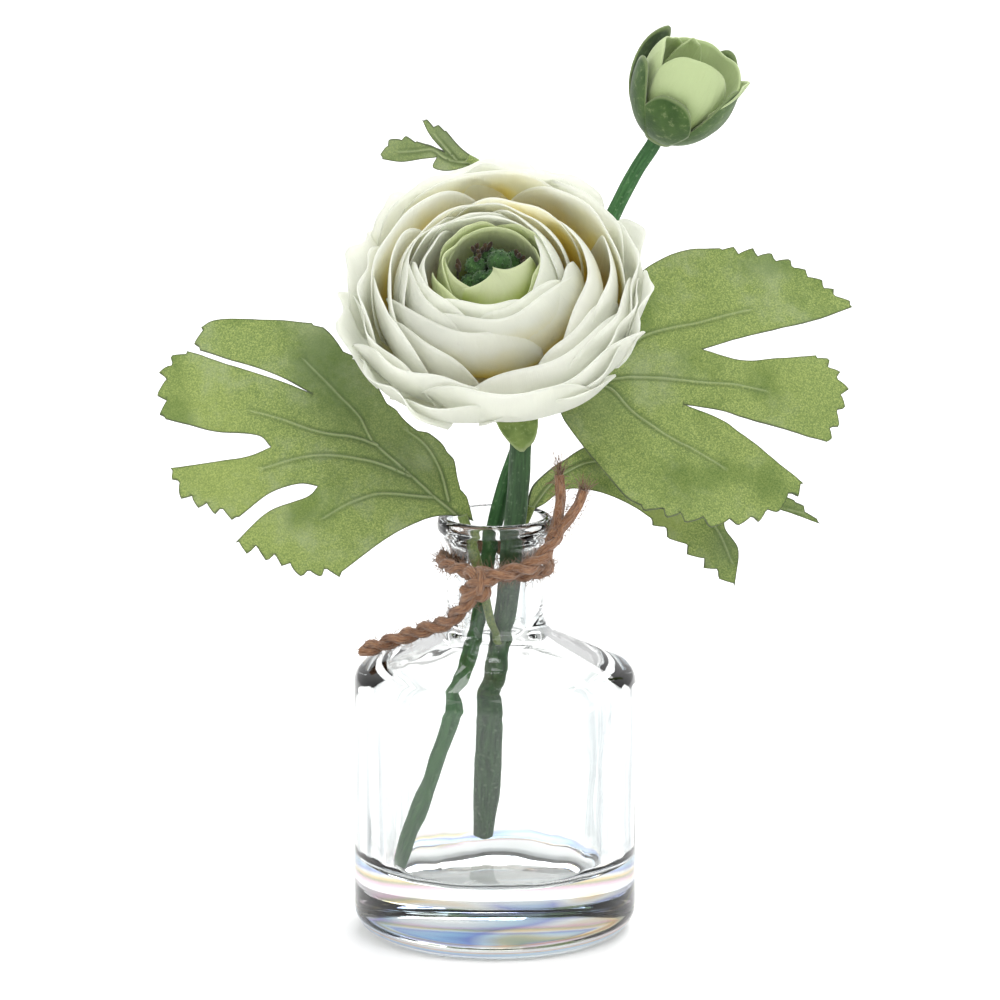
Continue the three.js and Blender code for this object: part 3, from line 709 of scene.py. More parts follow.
@dataclass(frozen=True)
class StemFinish:
    """Moulded stem: fine lengthwise streaks and the pale line of the mould's seam."""

    name: str
    deep: Colour
    light: Colour
    seam: Colour
    seam_place: float = 0.5  # where the seam lies round the stem, from 0 to 1

    def material(self) -> Material:
        """The stem as a material.

        Returns:
            The finished material.
        """
        w = Wiring(bpy.data.materials.new(self.name))
        flat = w.flat()
        around = w.parts(flat)["X"]
        streaks = w.speckle(w.scaled(flat, (22.0, 0.12, 1.0)), 1.0, 4.0, 0.6)
        colour = w.ramp(streaks, [(0.3, self.deep), (0.7, self.light)])
        flecks = w.speckle(w.place(), 900.0, 2.0)
        colour = w.laid(colour, self.seam, w.between(flecks, 0.55, 0.8), 0.4)
        line = w.between(w.off(around, self.seam_place), 0.022, 0.008)
        colour = w.laid(colour, self.seam, line, 0.8)
        height = w.sums("ADD", streaks, w.times(line, 1.5))
        return w.finished(w.matt(colour, w.bump(height, 0.4, 0.3 * MM), 0.5, 0.35))


@dataclass(frozen=True)
class JuteFinish:
    """Jute yarn: brown fibres that run with the lay, in darker and paler streaks, with dark patches."""

    name: str = "jute_yarn"
    dark: Colour = paint(74, 48, 34)
    middle: Colour = paint(146, 106, 78)
    light: Colour = paint(190, 152, 118)

    def material(self) -> Material:
        """The yarn as a material.

        Returns:
            The finished material.
        """
        w = Wiring(bpy.data.materials.new(self.name))
        flat = w.flat()
        fibres = w.speckle(w.scaled(flat, (26.0, 0.45, 1.0)), 1.0, 4.0, 0.65)
        colour = w.ramp(fibres, [(0.28, self.dark), (0.5, self.middle), (0.74, self.light)])
        patches = w.speckle(w.place(), 260.0, 2.0)
        colour = w.laid(colour, self.dark, w.between(patches, 0.5, 0.8), 0.45)
        return w.finished(w.matt(colour, w.bump(fibres, 0.9, 0.5 * MM), 0.95, 0.15, (0.4, 0.5)))


@dataclass(frozen=True)
class FlockFinish:
    """A flocked or dusted surface of two greens or browns, with pale flecks and lighter cut edges."""

    name: str
    deep: Colour
    light: Colour
    fleck: Colour
    fleck_share: float = 0.5
    grain: float = 700.0
    edge_share: float = 0.0

    def material(self) -> Material:
        """The flocking as a material.

        Returns:
            The finished material.
        """
        w = Wiring(bpy.data.materials.new(self.name))
        place = w.place()
        patches = w.speckle(place, self.grain / 4, 4.0, 0.6)
        colour = w.ramp(patches, [(0.3, self.deep), (0.7, self.light)])
        flecks = w.speckle(place, self.grain, 3.0, 0.7)
        colour = w.laid(colour, self.fleck, w.between(flecks, 0.55, 0.75), self.fleck_share)
        if self.edge_share:
            side, along, _ = w.parts(w.flat())
            edge = w.off(side, 0.5)
            border = w.sums("MAXIMUM", w.between(edge, 0.46, 0.495), w.between(along, 0.95, 0.99))
            colour = w.laid(colour, self.fleck, border, self.edge_share)
        return w.finished(w.matt(colour, w.bump(flecks, 0.6, 0.3 * MM), 0.85, 0.2, (0.25, 0.5)))


# ---------------------------------------------------------------- bottle


@dataclass
class Bottle:
    """The glass bottle: thick walls and base, sloped shoulders, a narrow neck and a flared lip."""

    radius: float = 35.5
    heel_radius: float = 6.5
    shoulder_edge: float = 64.0
    shoulder_apex: float = 84.0
    shoulder_slope: float = 0.5
    shoulder_corner: float = 5.0
    neck_radius: float = 12.1
    neck_top: float = 98.5
    lip_radius: float = 14.5
    height: float = 106.6
    bore_radius: float = 7.7
    mouth_radius: float = 12.0
    inner_radius: float = 28.0
    inner_shoulder: float = 62.0
    inner_neck: float = 75.5
    floor_height: float = 17.0
    floor_fillet: float = 4.0
    floor_dish: float = 0.9  # how far the floor sinks to its middle
    push_up: float = 1.6  # how far the underside rises inside its standing ring
    steps: int = 144
    waves: tuple[Triple, ...] = ((0.5, 13, 22), (0.12, 3.5, 5), (0.12, 5, 60))  # depth, breadth, height
    floor_share: float = 0.35  # how much of the waves the floor has

    def cone(self, radius: float) -> float:
        """The height of the sloped shoulder at a radius."""
        return self.shoulder_apex - self.shoulder_slope * radius

    def outside(self) -> list[Pair]:
        """The outer profile, from the middle of the underside up to the lip.

        Returns:
            Pairs of (radius, height) in millimetres.
        """
        slope = math.degrees(math.atan(self.shoulder_slope))
        standing = self.radius - self.heel_radius
        neck = smooth_path([
            (self.neck_radius + 5, self.cone(self.neck_radius + 5)),
            (self.neck_radius + 2, self.cone(self.neck_radius + 1.2)),
            (self.neck_radius + 0.4, self.cone(self.neck_radius) + 2.2),
            (self.neck_radius, self.cone(self.neck_radius) + 5)], 0.7)
        lip = smooth_path([
            (self.neck_radius, self.neck_top - 1), (self.neck_radius + 0.4, self.neck_top + 1.4),
            (self.lip_radius - 1.2, self.neck_top + 3), (self.lip_radius - 0.1, self.neck_top + 4.8),
            (self.lip_radius, self.height - 1.8), (self.lip_radius - 0.4, self.height - 0.5),
            (self.lip_radius - 1.2, self.height)], 0.5)
        return [
            (0, self.push_up), (standing - 9, self.push_up), (standing - 5, self.push_up * 0.6),
            (standing - 3, 0), (standing, 0),
            *arc((standing, self.heel_radius), self.heel_radius, -82, 0, 12),
            *((self.radius, h) for h in np.linspace(self.heel_radius + 4, self.shoulder_edge - 3, 12)),
            *arc((self.radius - self.shoulder_corner, self.shoulder_edge), self.shoulder_corner,
                 0, 90 - slope, 10),
            *map(tuple, neck), *map(tuple, lip)]

    def inside(self) -> list[Pair]:
        """The inner profile, from the lip down to the middle of the floor.

        Returns:
            Pairs of (radius, height) in millimetres.
        """
        mouth = smooth_path([
            (self.mouth_radius + 0.9, self.height), (self.mouth_radius + 0.2, self.height - 0.5),
            (self.mouth_radius - 0.9, self.height - 3), (self.bore_radius + 1.4, self.height - 5.6),
            (self.bore_radius, self.neck_top - 1), (self.bore_radius, self.neck_top - 8)], 0.8)
        shoulder = smooth_path([
            (self.bore_radius, self.inner_neck + 4), (self.bore_radius + 0.5, self.inner_neck + 1.4),
            (self.bore_radius + 3, self.inner_neck - 0.6),
            (self.inner_radius - 5, self.inner_shoulder + 6.4),
            (self.inner_radius - 1.6, self.inner_shoulder + 4.2),
            (self.inner_radius, self.inner_shoulder + 1.6),
            (self.inner_radius, self.inner_shoulder - 2)], 0.8)
        low = arc((self.inner_radius - self.floor_fillet, self.floor_height + self.floor_fillet),
                  self.floor_fillet, 0, -90, 8)
        walls = [(self.inner_radius, float(h)) for h in np.linspace(
            self.inner_shoulder - 8, self.floor_height + self.floor_fillet + 3, 10)]
        sink = self.floor_dish
        floor = [(self.inner_radius * share, self.floor_height - sink * math.cos(share * math.pi / 2))
                 for share in (0.7, 0.5, 0.3, 0.12)]
        return [*map(tuple, mouth), *map(tuple, shoulder), *walls, *low, *floor,
                (0, self.floor_height - sink)]

    def build(self) -> Piece:
        """Turns the bottle and gives its inner wall the slight waves of pressed glass.

        Returns:
            The dressed bottle.
        """
        piece = turned_piece("glass_bottle", [*self.outside(), *self.inside()], self.steps)
        points = coordinates(piece) / MM
        away = np.hypot(points[:, 0], points[:, 1])
        inner = (away < self.inner_radius + 0.5) & (points[:, 2] > self.floor_height - 1.5) & (
            points[:, 2] < self.inner_neck)
        for index in np.flatnonzero(inner):
            x, y, z = points[index]
            wave = sum(depth * noise.noise(Vector((x / breadth, y / breadth, z / height)))
                       for depth, breadth, height in self.waves)
            if away[index] > self.inner_radius - 5:
                points[index, :2] *= 1 + wave / max(away[index], 1)
            else:
                points[index, 2] += self.floor_share * wave
        set_coordinates(piece, points * MM)
        return settle(piece, GlassFinish().material(), Slot.GLASS, "bottle")


def arc(centre: Pair, radius: float, start: float, end: float, steps: int) -> list[Pair]:
    """Points of an arc in (radius, height) round a centre, between two angles in degrees."""
    angles = np.radians(np.linspace(start, end, steps + 1))
    return [(centre[0] + radius * math.cos(a), centre[1] + radius * math.sin(a)) for a in angles]


# ---------------------------------------------------------------- twine


@dataclass
class JuteTie:
    """A two-ply jute twine: a loop flattened on the neck, a knot in front, and two tails."""

    loop_radius: float = 13.5
    loop_height: float = 94.4
    loop_tilt: float = math.radians(3.5)
    ply_radius: float = 1.12
    ply_offset: float = 0.92
    lay: float = 10.5  # length in which the plies turn once
    yarns: Yarns = Yarns(6, 0.13, 5.0)
    end_yarns: Yarns = Yarns(5, 0.13, 14.0)
    end_radii: Pair = (1.35, 1.2)
    low_tail: tuple[Triple, ...] = (
        (-2.2, -14.6, 95.4), (-4.2, -16.6, 93), (-6.2, -15.9, 89), (-8.4, -14.4, 85.8), (-11.5, -12.2, 82.2),
        (-16.5, -8.4, 79.6), (-22.5, -5.6, 76.8), (-28.5, -3.4, 74.2), (-33.4, -1.4, 72))
    high_tail: tuple[Triple, ...] = (
        (-7.4, -14.2, 91), (-5.4, -16.4, 92), (-2.6, -17.4, 94), (3.2, -17.4, 95.8), (9.6, -15, 97.4),
        (13.4, -12.6, 101), (15.4, -9.9, 104.6))
    upright_ply: tuple[Triple, ...] = (
        (14.6, -10.6, 103.4), (15.3, -9.4, 106.5), (15.9, -8.8, 109.5), (16.3, -8.6, 114), (16, -8, 118.5))
    bent_ply: tuple[Triple, ...] = (
        (14.9, -11.2, 103), (16.4, -10, 105.4), (18.6, -9.4, 108), (21.0, -9, 111.6), (22.0, -8.8, 114.8))
    wrap_centre: Triple = (-4.4, -15.8, 92.8)
    fibres: int = 1500
    fibre_width: float = 0.08
    tufts: tuple[tuple[int, float], ...] = ((46, 6.0), (46, 4.2), (30, 1.6))  # fibres and length
    rng: random.Random = field(default_factory=lambda: random.Random(41))

    def plies(self, line: Rows, closed: bool = False) -> list[Shape]:
        """Two yarns wound round one another along a line.

        Args:
            line: Points along the middle of the cord.
            closed: Whether it runs back into itself.

        Returns:
            The two yarns.
        """
        firsts, seconds = path_frames(line, closed)
        along = path_length(line)
        turns = round(along[-1] / self.lay) if closed else along[-1] / self.lay
        made = []
        for ply in range(2):
            angle = (math.tau * turns * along / along[-1] + math.pi * ply)[:, None]
            if closed:
                out = line * (1, 1, 0)
                out /= np.linalg.norm(out, axis=1, keepdims=True)
                offset = out * 0.45 * np.cos(angle) + np.array((0, 0, 1.0)) * self.ply_offset * np.sin(angle)
            else:
                offset = (firsts * np.cos(angle) + seconds * np.sin(angle)) * self.ply_offset
            wobble = 1 + 0.06 * np.sin(along * 1.7 + ply) + 0.05 * np.sin(along * 0.61 + 2 * ply)
            radius = self.ply_radius * wobble * (0.86 if closed else 1.0)
            made.append(swept(line + offset, radius, 16, closed, self.yarns))
        return made

    def loop(self) -> Rows:
        """The line of the loop round the neck.

        Returns:
            Points along the loop, in millimetres.
        """
        angles = np.linspace(0, math.tau, 150, endpoint=False)
        x = self.loop_radius * np.cos(angles)
        return np.stack([x, self.loop_radius * np.sin(angles),
                         self.loop_height - x * math.tan(self.loop_tilt)], axis=1)

    def wrap(self) -> Rows:
        """The short turn that holds the two tails together.

        Returns:
            Points along the turn, in millimetres.
        """
        angles = np.radians(np.linspace(-150, 165, 30))
        x, y, z = self.wrap_centre
        return np.stack([x + 1.3 * np.cos(angles) - 0.7 * np.sin(angles),
                         y - 1.9 * np.cos(angles + 0.4),
                         z + 2.7 * np.sin(angles)], axis=1)

    def fibre(self, root: Rows, away: Rows, length: float, width: float) -> Shape:
        """One loose fibre that leaves the yarn and curls.

        Args:
            root: Where it leaves the yarn.
            away: The direction in which it leaves.
            length: Its length before it curls.
            width: Its radius at the root.

        Returns:
            The fibre.
        """
        curl = np.array([self.rng.uniform(-1, 1) for _ in range(3)]) * 0.55
        steps = np.linspace(0, 1, 5)[:, None]
        line = root + away * length * steps + curl * length * steps ** 2
        return swept(line, width * (1 - 0.6 * steps[:, 0]), 3)

    def fuzz(self, lines: list[Rows]) -> list[Shape]:
        """Loose fibres along the yarns.

        Args:
            lines: The lines that the fibres stand out from.

        Returns:
            The fibres.
        """
        hairs = []
        weights = [len(line) for line in lines]
        for _ in range(self.fibres):
            line = self.rng.choices(lines, weights)[0]
            spot = self.rng.randrange(1, len(line) - 1)
            tangent = line[spot + 1] - line[spot - 1]
            tangent /= np.linalg.norm(tangent)
            across = np.cross(tangent, [self.rng.gauss(0, 1) for _ in range(3)])
            across /= np.linalg.norm(across)
            away = across + tangent * self.rng.uniform(-1.6, 1.6)
            away /= np.linalg.norm(away)
            root = line[spot] + across * self.ply_radius * 1.5
            hairs.append(self.fibre(root, away, self.rng.uniform(0.7, 2.6), self.fibre_width))
        return hairs

    def frayed(self, line: Rows, count: int, length: float) -> list[Shape]:
        """The brush of fibres at a cut end.

        Args:
            line: The line that ends at the cut.
            count: The number of fibres.
            length: The length of the longest.

        Returns:
            The fibres.
        """
        tip = line[-1]
        tangent = line[-1] - line[-3]
        tangent /= np.linalg.norm(tangent)
        hairs = []
        for _ in range(count):
            spread = np.array([self.rng.gauss(0, 1) for _ in range(3)])
            spread -= tangent * (spread @ tangent)
            away = tangent + spread * 0.16
            root = tip - tangent * 0.6 + spread * self.ply_radius * 0.38
            hairs.append(self.fibre(root, away, length * self.rng.uniform(0.5, 1.0), 0.11))
        return hairs

    def build(self) -> list[Piece]:
        """Winds the twine, knots it and lets its fibres stand out.

        Returns:
            The twine and its loose fibres.
        """
        loop = self.loop()
        low, high = smooth_path(self.low_tail, 0.6), smooth_path(self.high_tail, 0.6)
        yarns = self.plies(loop, closed=True)
        for line in (low, high, self.wrap()):
            yarns += self.plies(line)
        ends = [smooth_path(route, 0.6) for route in (self.upright_ply, self.bent_ply)]
        yarns += [swept(line, np.linspace(*self.end_radii, len(line)), 16, yarns=self.end_yarns)
                  for line in ends]
        finish = JuteFinish().material()
        twine = settle(Shape.gathered(yarns).piece("jute_twine"), finish, Slot.JUTE, "jute_tie")
        hairs = self.fuzz([loop, low, high, *ends])
        for line, (count, length) in zip((*ends, low), self.tufts):
            hairs += self.frayed(line, count, length)
        fuzz = settle(Shape.gathered(hairs).piece("jute_fibres"), finish, Slot.JUTE)
        return [twine, fuzz]


# ---------------------------------------------------------------- stems


@dataclass
class Stem:
    """A moulded stem along a route, with shallow lengthwise flutes."""

    name: str
    node: str
    route: tuple[Triple, ...]
    radii: Pair
    finish: StemFinish
    sides: int = 28

    def build(self) -> Piece:
        """Sweeps the stem along its route.

        Returns:
            The dressed stem.
        """
        line = smooth_path(self.route, 1.2)
        radius = np.linspace(*self.radii, len(line)) * (1 + 0.012 * np.sin(path_length(line) * 0.7))
        shape = swept(line, radius, self.sides, yarns=Yarns(5, 0.035, 300.0))
        return settle(shape.piece(self.name), self.finish.material(), Slot.STEM, self.node)


# ---------------------------------------------------------------- leaves


@dataclass(frozen=True)
class Run:
    """A stretch of a leaf's margin through points [across, up]; with teeth it is serrated."""

    points: tuple[Pair, ...]
    teeth: int = 0
    depth: float = 0.0


@dataclass(frozen=True)
class Relief:
    """How a blade leaves its own plane: an arch along its axis, a cup across it, and ripples."""

    axis: float
    length: float
    arch: float
    droop: float
    cup: float
    wave: float
    waves: float
    phase: float

    def height(self, flat: Rows) -> Rows:
        """The height over the plane at rows of [across, up].

        Args:
            flat: Rows of [across, up].

        Returns:
            The height at each row.
        """
        angle = math.radians(self.axis)
        along = (flat[:, 0] * math.cos(angle) + flat[:, 1] * math.sin(angle)) / self.length
        across = (flat[:, 1] * math.cos(angle) - flat[:, 0] * math.sin(angle)) / self.length
        bend = self.length * (self.arch * along - self.droop * along ** 2 + self.cup * across ** 2)
        ripple = np.sin(self.waves * np.arctan2(across, along) + self.phase)
        return bend + self.wave * (along ** 2 + across ** 2) * ripple


@dataclass
class Leaf:
    """A lobed leaf: a toothed blade of flocked cloth with pressed veins, and its stalk."""

    name: str
    node: str
    seat: Triple
    pitch: float
    yaw: float
    relief: Relief
    margin: tuple[Run, ...]
    veins: tuple[tuple[Pair, ...], ...]
    stalk: tuple[Triple, ...]
    stalk_radii: Pair
    tones: tuple[Quad, ...] = ()  # darker or lighter spots: place, reach, amount
    thickness: float = 0.5
    crumple: float = 1.1
    frost: float = 0.25  # how grey its flocking is
    grain: float = 1.2  # spacing of the blade's points
    border: float = 0.42  # how far inside the margin the first row of points lies
    vein_rows: tuple[float, ...] = (-1.3, -0.6, -0.28, 0, 0.28, 0.6, 1.3)
    seed: int = 1

    def outline(self) -> Rows:
        """The margin's points, counter-clockwise.

        Returns:
            Rows of [across, up].
        """
        corners = np.array([p for run in self.margin for p in run.points])
        rolled = np.roll(corners, -1, 0)
        clockwise = np.sum(corners[:, 0] * rolled[:, 1] - rolled[:, 0] * corners[:, 1]) < 0
        rng = random.Random(self.seed)
        points = [np.array([self.margin[0].points[0]])]
        for number, run in enumerate(self.margin):
            onward = run.points[1:] if number == 0 else run.points
            line = smooth_path([points[-1][-1], *onward], self.grain * 0.6)
            if run.teeth:
                line = self.serrated(line, run, 1.0 if clockwise else -1.0, rng)
            points.append(line[1:])
        ring = np.vstack(points)
        if np.linalg.norm(ring[0] - ring[-1]) < 0.3 * self.grain:
            ring = ring[:-1]
        return ring[::-1] if clockwise else ring

    @staticmethod
    def serrated(line: Rows, run: Run, turn: float, rng: random.Random) -> Rows:
        """Pushes a smooth stretch of margin in and out as teeth that point onwards.

        Args:
            line: Points along the smooth stretch.
            run: How many teeth it has, and how deep.
            turn: 1 or -1, for the side that the teeth stand out to.
            rng: The leaf's own run of random numbers.

        Returns:
            The stretch with its teeth.
        """
        along = path_length(line) / path_length(line)[-1]
        starts = np.linspace(0, 1, run.teeth + 1)
        starts[1:-1] += [rng.uniform(-0.18, 0.18) / run.teeth for _ in range(run.teeth - 1)]
        reach = np.zeros(len(line))
        for low, high in zip(starts, starts[1:]):
            share = (along - low) / (high - low)
            depth = run.depth * rng.uniform(0.75, 1.25)
            within = np.clip(share, 0, 1)
            rise = np.where(share < 0.74, (within / 0.74) ** 0.8, (1 - within) / 0.26)
            reach = np.where((share >= 0) & (share <= 1), depth * (rise - 0.42), reach)
        reach[[0, -1]] = 0
        return line + normals(line) * reach[:, None] * turn

    def guides(self, ring: Rows) -> Rows:
        """Points just inside the margin and in rows beside the veins, where the blade's finish changes.

        Args:
            ring: The margin's points, as rows of [across, up].

        Returns:
            The points, as rows of [across, up].
        """
        border = ring + self.border * normals(ring, closed=True)
        found = [border[inside(border, ring) & (distance_to(border, ring, closed=True) > 0.3)]]
        for points in self.veins:
            line = smooth_path(points, 0.8)
            rows = np.vstack([line + offset * normals(line) for offset in self.vein_rows])
            found.append(rows[inside(rows, ring) & (distance_to(rows, ring, closed=True) > 0.6)])
        return np.vstack(found)

    def filling(self, ring: Rows) -> Rows:
        """Points of a triangular grid inside the margin, clear of it and of the veins.

        Args:
            ring: The margin's points, as rows of [across, up].

        Returns:
            The points, as rows of [across, up].
        """
        low, high = ring.min(0), ring.max(0)
        rows = np.arange(low[1], high[1], self.grain * 0.87)
        grid = np.array([(x + (self.grain / 2 if i % 2 else 0), y)
                         for i, y in enumerate(rows) for x in np.arange(low[0], high[0], self.grain)])
        grid = grid[inside(grid, ring)]
        clear = distance_to(grid, ring, closed=True) > self.border + self.grain * 0.4
        for points in self.veins:
            clear &= distance_to(grid, smooth_path(points, 2.0)) > self.vein_rows[-1] + self.grain * 0.4
        return grid[clear]

    def vein_marks(self, flat: Rows) -> tuple[Rows, Rows]:
        """How much of a vein, and of the pressed hollow beside it with its painted shade, lies at each point.

        Args:
            flat: Rows of [across, up].

        Returns:
            The two shares at each row, from 0 to 1.
        """
        vein, groove_shade = np.zeros(len(flat)), np.zeros(len(flat))
        for points in self.veins:
            gap, share = nearest_on(flat, smooth_path(points, 1.0))
            vein = np.maximum(vein, np.clip(1 - gap / 0.32, 0, 1) * (1 - 0.45 * share))
            groove_shade = np.maximum(groove_shade, np.exp(-((gap - 0.5) / 0.45) ** 2) * (1 - 0.55 * share))
        return vein, groove_shade

    def build(self) -> Piece:
        """Cuts the blade, bends it, presses its veins, thickens it and sets it on its stalk.

        The margin with its teeth is filled by a triangulation, which no modelling operator does evenly.

        Returns:
            The dressed leaf.
        """
        ring = self.outline()
        flat = np.vstack([ring, self.guides(ring), self.filling(ring)])
        found = geometry.delaunay_2d_cdt([Vector(p) for p in flat], [], [list(range(len(ring)))], 1, 1e-5)
        flat = np.array([tuple(p) for p in found[0]])
        vein, groove_shade = self.vein_marks(flat)
        edge = np.clip(1 - distance_to(flat, ring, closed=True) / 0.4, 0, 1)
        tone = np.zeros(len(flat))
        for x, y, reach, amount in self.tones:
            tone += amount * np.exp(-((flat[:, 0] - x) ** 2 + (flat[:, 1] - y) ** 2) / reach ** 2)
        creases = np.array([noise.noise(Vector((x / 10, y / 10, self.seed)))
                            + 0.3 * noise.noise(Vector((x / 3.4, y / 3.4, self.seed))) for x, y in flat])
        height = self.relief.height(flat) + self.crumple * creases - 0.45 * groove_shade + 0.2 * vein
        local = np.stack([flat[:, 0], -height, flat[:, 1]], axis=1)
        turn = np.array((Matrix.Rotation(math.radians(self.yaw), 3, "Z")
                         @ Matrix.Rotation(math.radians(-self.pitch), 3, "X")))
        faces = [tuple(face) for face in found[2]]
        corners = flat[[corner for face in faces for corner in face]] / 100
        blade = Shape(local @ turn.T + np.array(self.seat), faces, corners).piece(self.name)
        add_attribute(blade, "vein", vein)
        add_attribute(blade, "groove_shade", groove_shade)
        add_attribute(blade, "margin", edge)
        add_attribute(blade, "tone", 0.5 + 0.5 * np.clip(tone, -1, 1))
        add_attribute(blade, "frost", self.frost)
        modify(blade, "SOLIDIFY", thickness=self.thickness * MM, offset=0.0)
        pick(blade)
        bpy.ops.object.shade_smooth_by_angle(angle=BLADE_SMOOTH_ANGLE)
        line = smooth_path(self.stalk, 1.0)
        stalk = swept(line, np.linspace(*self.stalk_radii, len(line)), 16).piece("stalk")
        add_attribute(stalk, "vein", 0.2)
        add_attribute(stalk, "tone", 0.6)
        piece = joined(self.name, [blade, stalk])
        return settle(piece, LEAF_CLOTH.material(), Slot.LEAF, self.node)


def normals(line: Rows, closed: bool = False) -> Rows:
    """Unit vectors to the left of a flat line, at each of its points.

    Args:
        line: Points along the line, as rows of x and y.
        closed: Whether the last point is next to the first.

    Returns:
        One row for each point.
    """
    steps = np.roll(line, -1, 0) - np.roll(line, 1, 0) if closed else np.gradient(line, axis=0)
    left = np.stack([-steps[:, 1], steps[:, 0]], axis=1)
    return left / np.linalg.norm(left, axis=1, keepdims=True)


def inside(points: Rows, ring: Rows) -> Rows:
    """Which of the points lie inside a closed outline.

    Args:
        points: Rows of x and y.
        ring: The outline's points, in order.

    Returns:
        True for each point that lies inside.
    """
    within = np.zeros(len(points), bool)
    for a, b in zip(ring, np.roll(ring, -1, 0)):
        crosses = (a[1] > points[:, 1]) != (b[1] > points[:, 1])
        slope = (b[0] - a[0]) / (b[1] - a[1] if b[1] != a[1] else 1e-9)
        within ^= crosses & (points[:, 0] < a[0] + slope * (points[:, 1] - a[1]))
    return within


def nearest_on(points: Rows, line: Rows) -> tuple[Rows, Rows]:
    """For each point, its distance from a line and how far along the line the nearest place is, 0 to 1.

    Args:
        points: Rows of x and y.
        line: Points along the line, in order.

    Returns:
        The distances, and the shares of the line.
    """
    best, share = np.full(len(points), 1e9), np.zeros(len(points))
    along = path_length(line)
    for i, (a, b) in enumerate(zip(line, line[1:])):
        step = b - a
        t = np.clip((points - a) @ step / max(step @ step, 1e-12), 0, 1)
        gap = np.linalg.norm(points - (a + t[:, None] * step), axis=1)
        closer = gap < best
        best = np.where(closer, gap, best)
        share = np.where(closer, (along[i] + t * (along[i + 1] - along[i])) / along[-1], share)
    return best, share


def distance_to(points: Rows, line: Rows, closed: bool = False) -> Rows:
    """The distance of each point from a line."""
    return nearest_on(points, np.vstack([line, line[:1]]) if closed else line)[0]


LEAF_CLOTH = LeafFinish()


# ---------------------------------------------------------------- petals


@dataclass(frozen=True)
class Petal:
    """One petal or sepal, in a flower's own frame, in millimetres and degrees.

    Its middle line is a curve in (radius, height) from root by belly and shoulder to rim. Angles count from
    the front. `round` is the share of its length that its corners lose, `spiral` how far one side lies
    outside the other, `bow` how far both sides lie outside the middle, `flare` how far its rim turns out and
    `ruffle` how much the rim waves. `shift` moves the petal sideways, its root least.
    """

    angle: float
    half_width: float
    root: Pair
    belly: Pair
    shoulder: Pair
    rim: Pair
    start: float = 0.2
    end: float = 1.0
    round: float = 0.12
    power: float = 2.4
    spiral: float = 0.0
    bow: float = 0.0
    flare: float = 0.0
    ruffle: float = 0.0
    waves: float = 2.0
    phase: float = 0.0
    skew: float = 0.0
    pinch: float = 0.7
    dent: float = 0.0
    swell: float = 0.0
    shift: Pair = (0.0, 0.0)

    def surface(self, side: Rows, row: Rows) -> Rows:
        """The petal's surface at each side, from -1 to 1, and row, from 0 at the root to 1 at the rim.

        Args:
            side: How far to the side each point lies.
            row: How far up the petal it lies.

        Returns:
            Rows of x, y, z in millimetres.
        """
        top = self.end * (1 - self.round * np.abs(side) ** self.power + self.skew * side)
        top = top - self.dent * np.exp(-((side - 0.1) / 0.14) ** 2)
        t = self.start + (top - self.start) * row
        shares = [(1 - t) ** 3, 3 * t * (1 - t) ** 2, 3 * t ** 2 * (1 - t), t ** 3]
        knots = (self.root, self.belly, self.shoulder, self.rim)
        radius = sum(share * knot[0] for share, knot in zip(shares, knots))
        height = sum(share * knot[1] for share, knot in zip(shares, knots))
        width = math.radians(self.half_width) * (self.pinch + (1 - self.pinch) * np.minimum(1, 2 * t))
        theta = math.radians(self.angle) + side * width
        curl = np.clip((row - 0.72) / 0.28, 0, 1) ** 2
        wave = self.ruffle * row ** 3 * np.sin(self.waves * math.pi * side + self.phase)
        fine = 0.35 * self.ruffle * row ** 6 * np.sin(5.3 * self.waves * side + 2 * self.phase)
        swell = self.swell * np.sin(2.2 * side + self.phase) * np.sin(math.pi * row * 0.9)
        bow = self.bow * side ** 2 * row ** 3
        radius = radius + self.spiral * side + bow + self.flare * curl + wave + fine + swell
        height = height - 0.35 * abs(self.flare) * curl + 0.4 * wave * np.cos(2.3 * side + self.phase) + fine
        x = radius * np.sin(theta) + self.shift[0] * row
        y = -radius * np.cos(theta) - self.shift[1] * row
        return np.stack([x, y, height], axis=1)

    def blade(self, columns: int, rows: int, thickness: float, root_tint_and_shade: float = 0.0) -> Piece:
        """Shapes the petal from a flat grid and gives it its thickness.

        Args:
            columns: Faces across the petal.
            rows: Faces along it.
            thickness: Its thickness in millimetres.
            root_tint_and_shade: How far its deep colour, partly painted warm shade, reaches from the root
                towards the rim, from 0 to 1.

        Returns:
            The petal, in the flower's frame.
        """
        deselect()
        bpy.ops.mesh.primitive_grid_add(x_subdivisions=columns, y_subdivisions=rows, size=2.0)
        piece = bpy.context.object
        flat = coordinates(piece)
        set_coordinates(piece, self.surface(flat[:, 0], (flat[:, 1] + 1) / 2) * MM)
        add_attribute(piece, "root_tint_and_shade", root_tint_and_shade)
        modify(piece, "SOLIDIFY", thickness=thickness * MM, offset=0.0)
        bpy.ops.object.shade_smooth()
        return piece


@dataclass(frozen=True)
class Place:
    """Where one petal of a layer stands, and how it differs from the layer's other petals."""

    angle: float
    half_width: float
    radius: float
    height: float
    spiral: float = 0.8
    flare: float = 0.0
    ruffle: float = 0.3
    round: float = 0.4


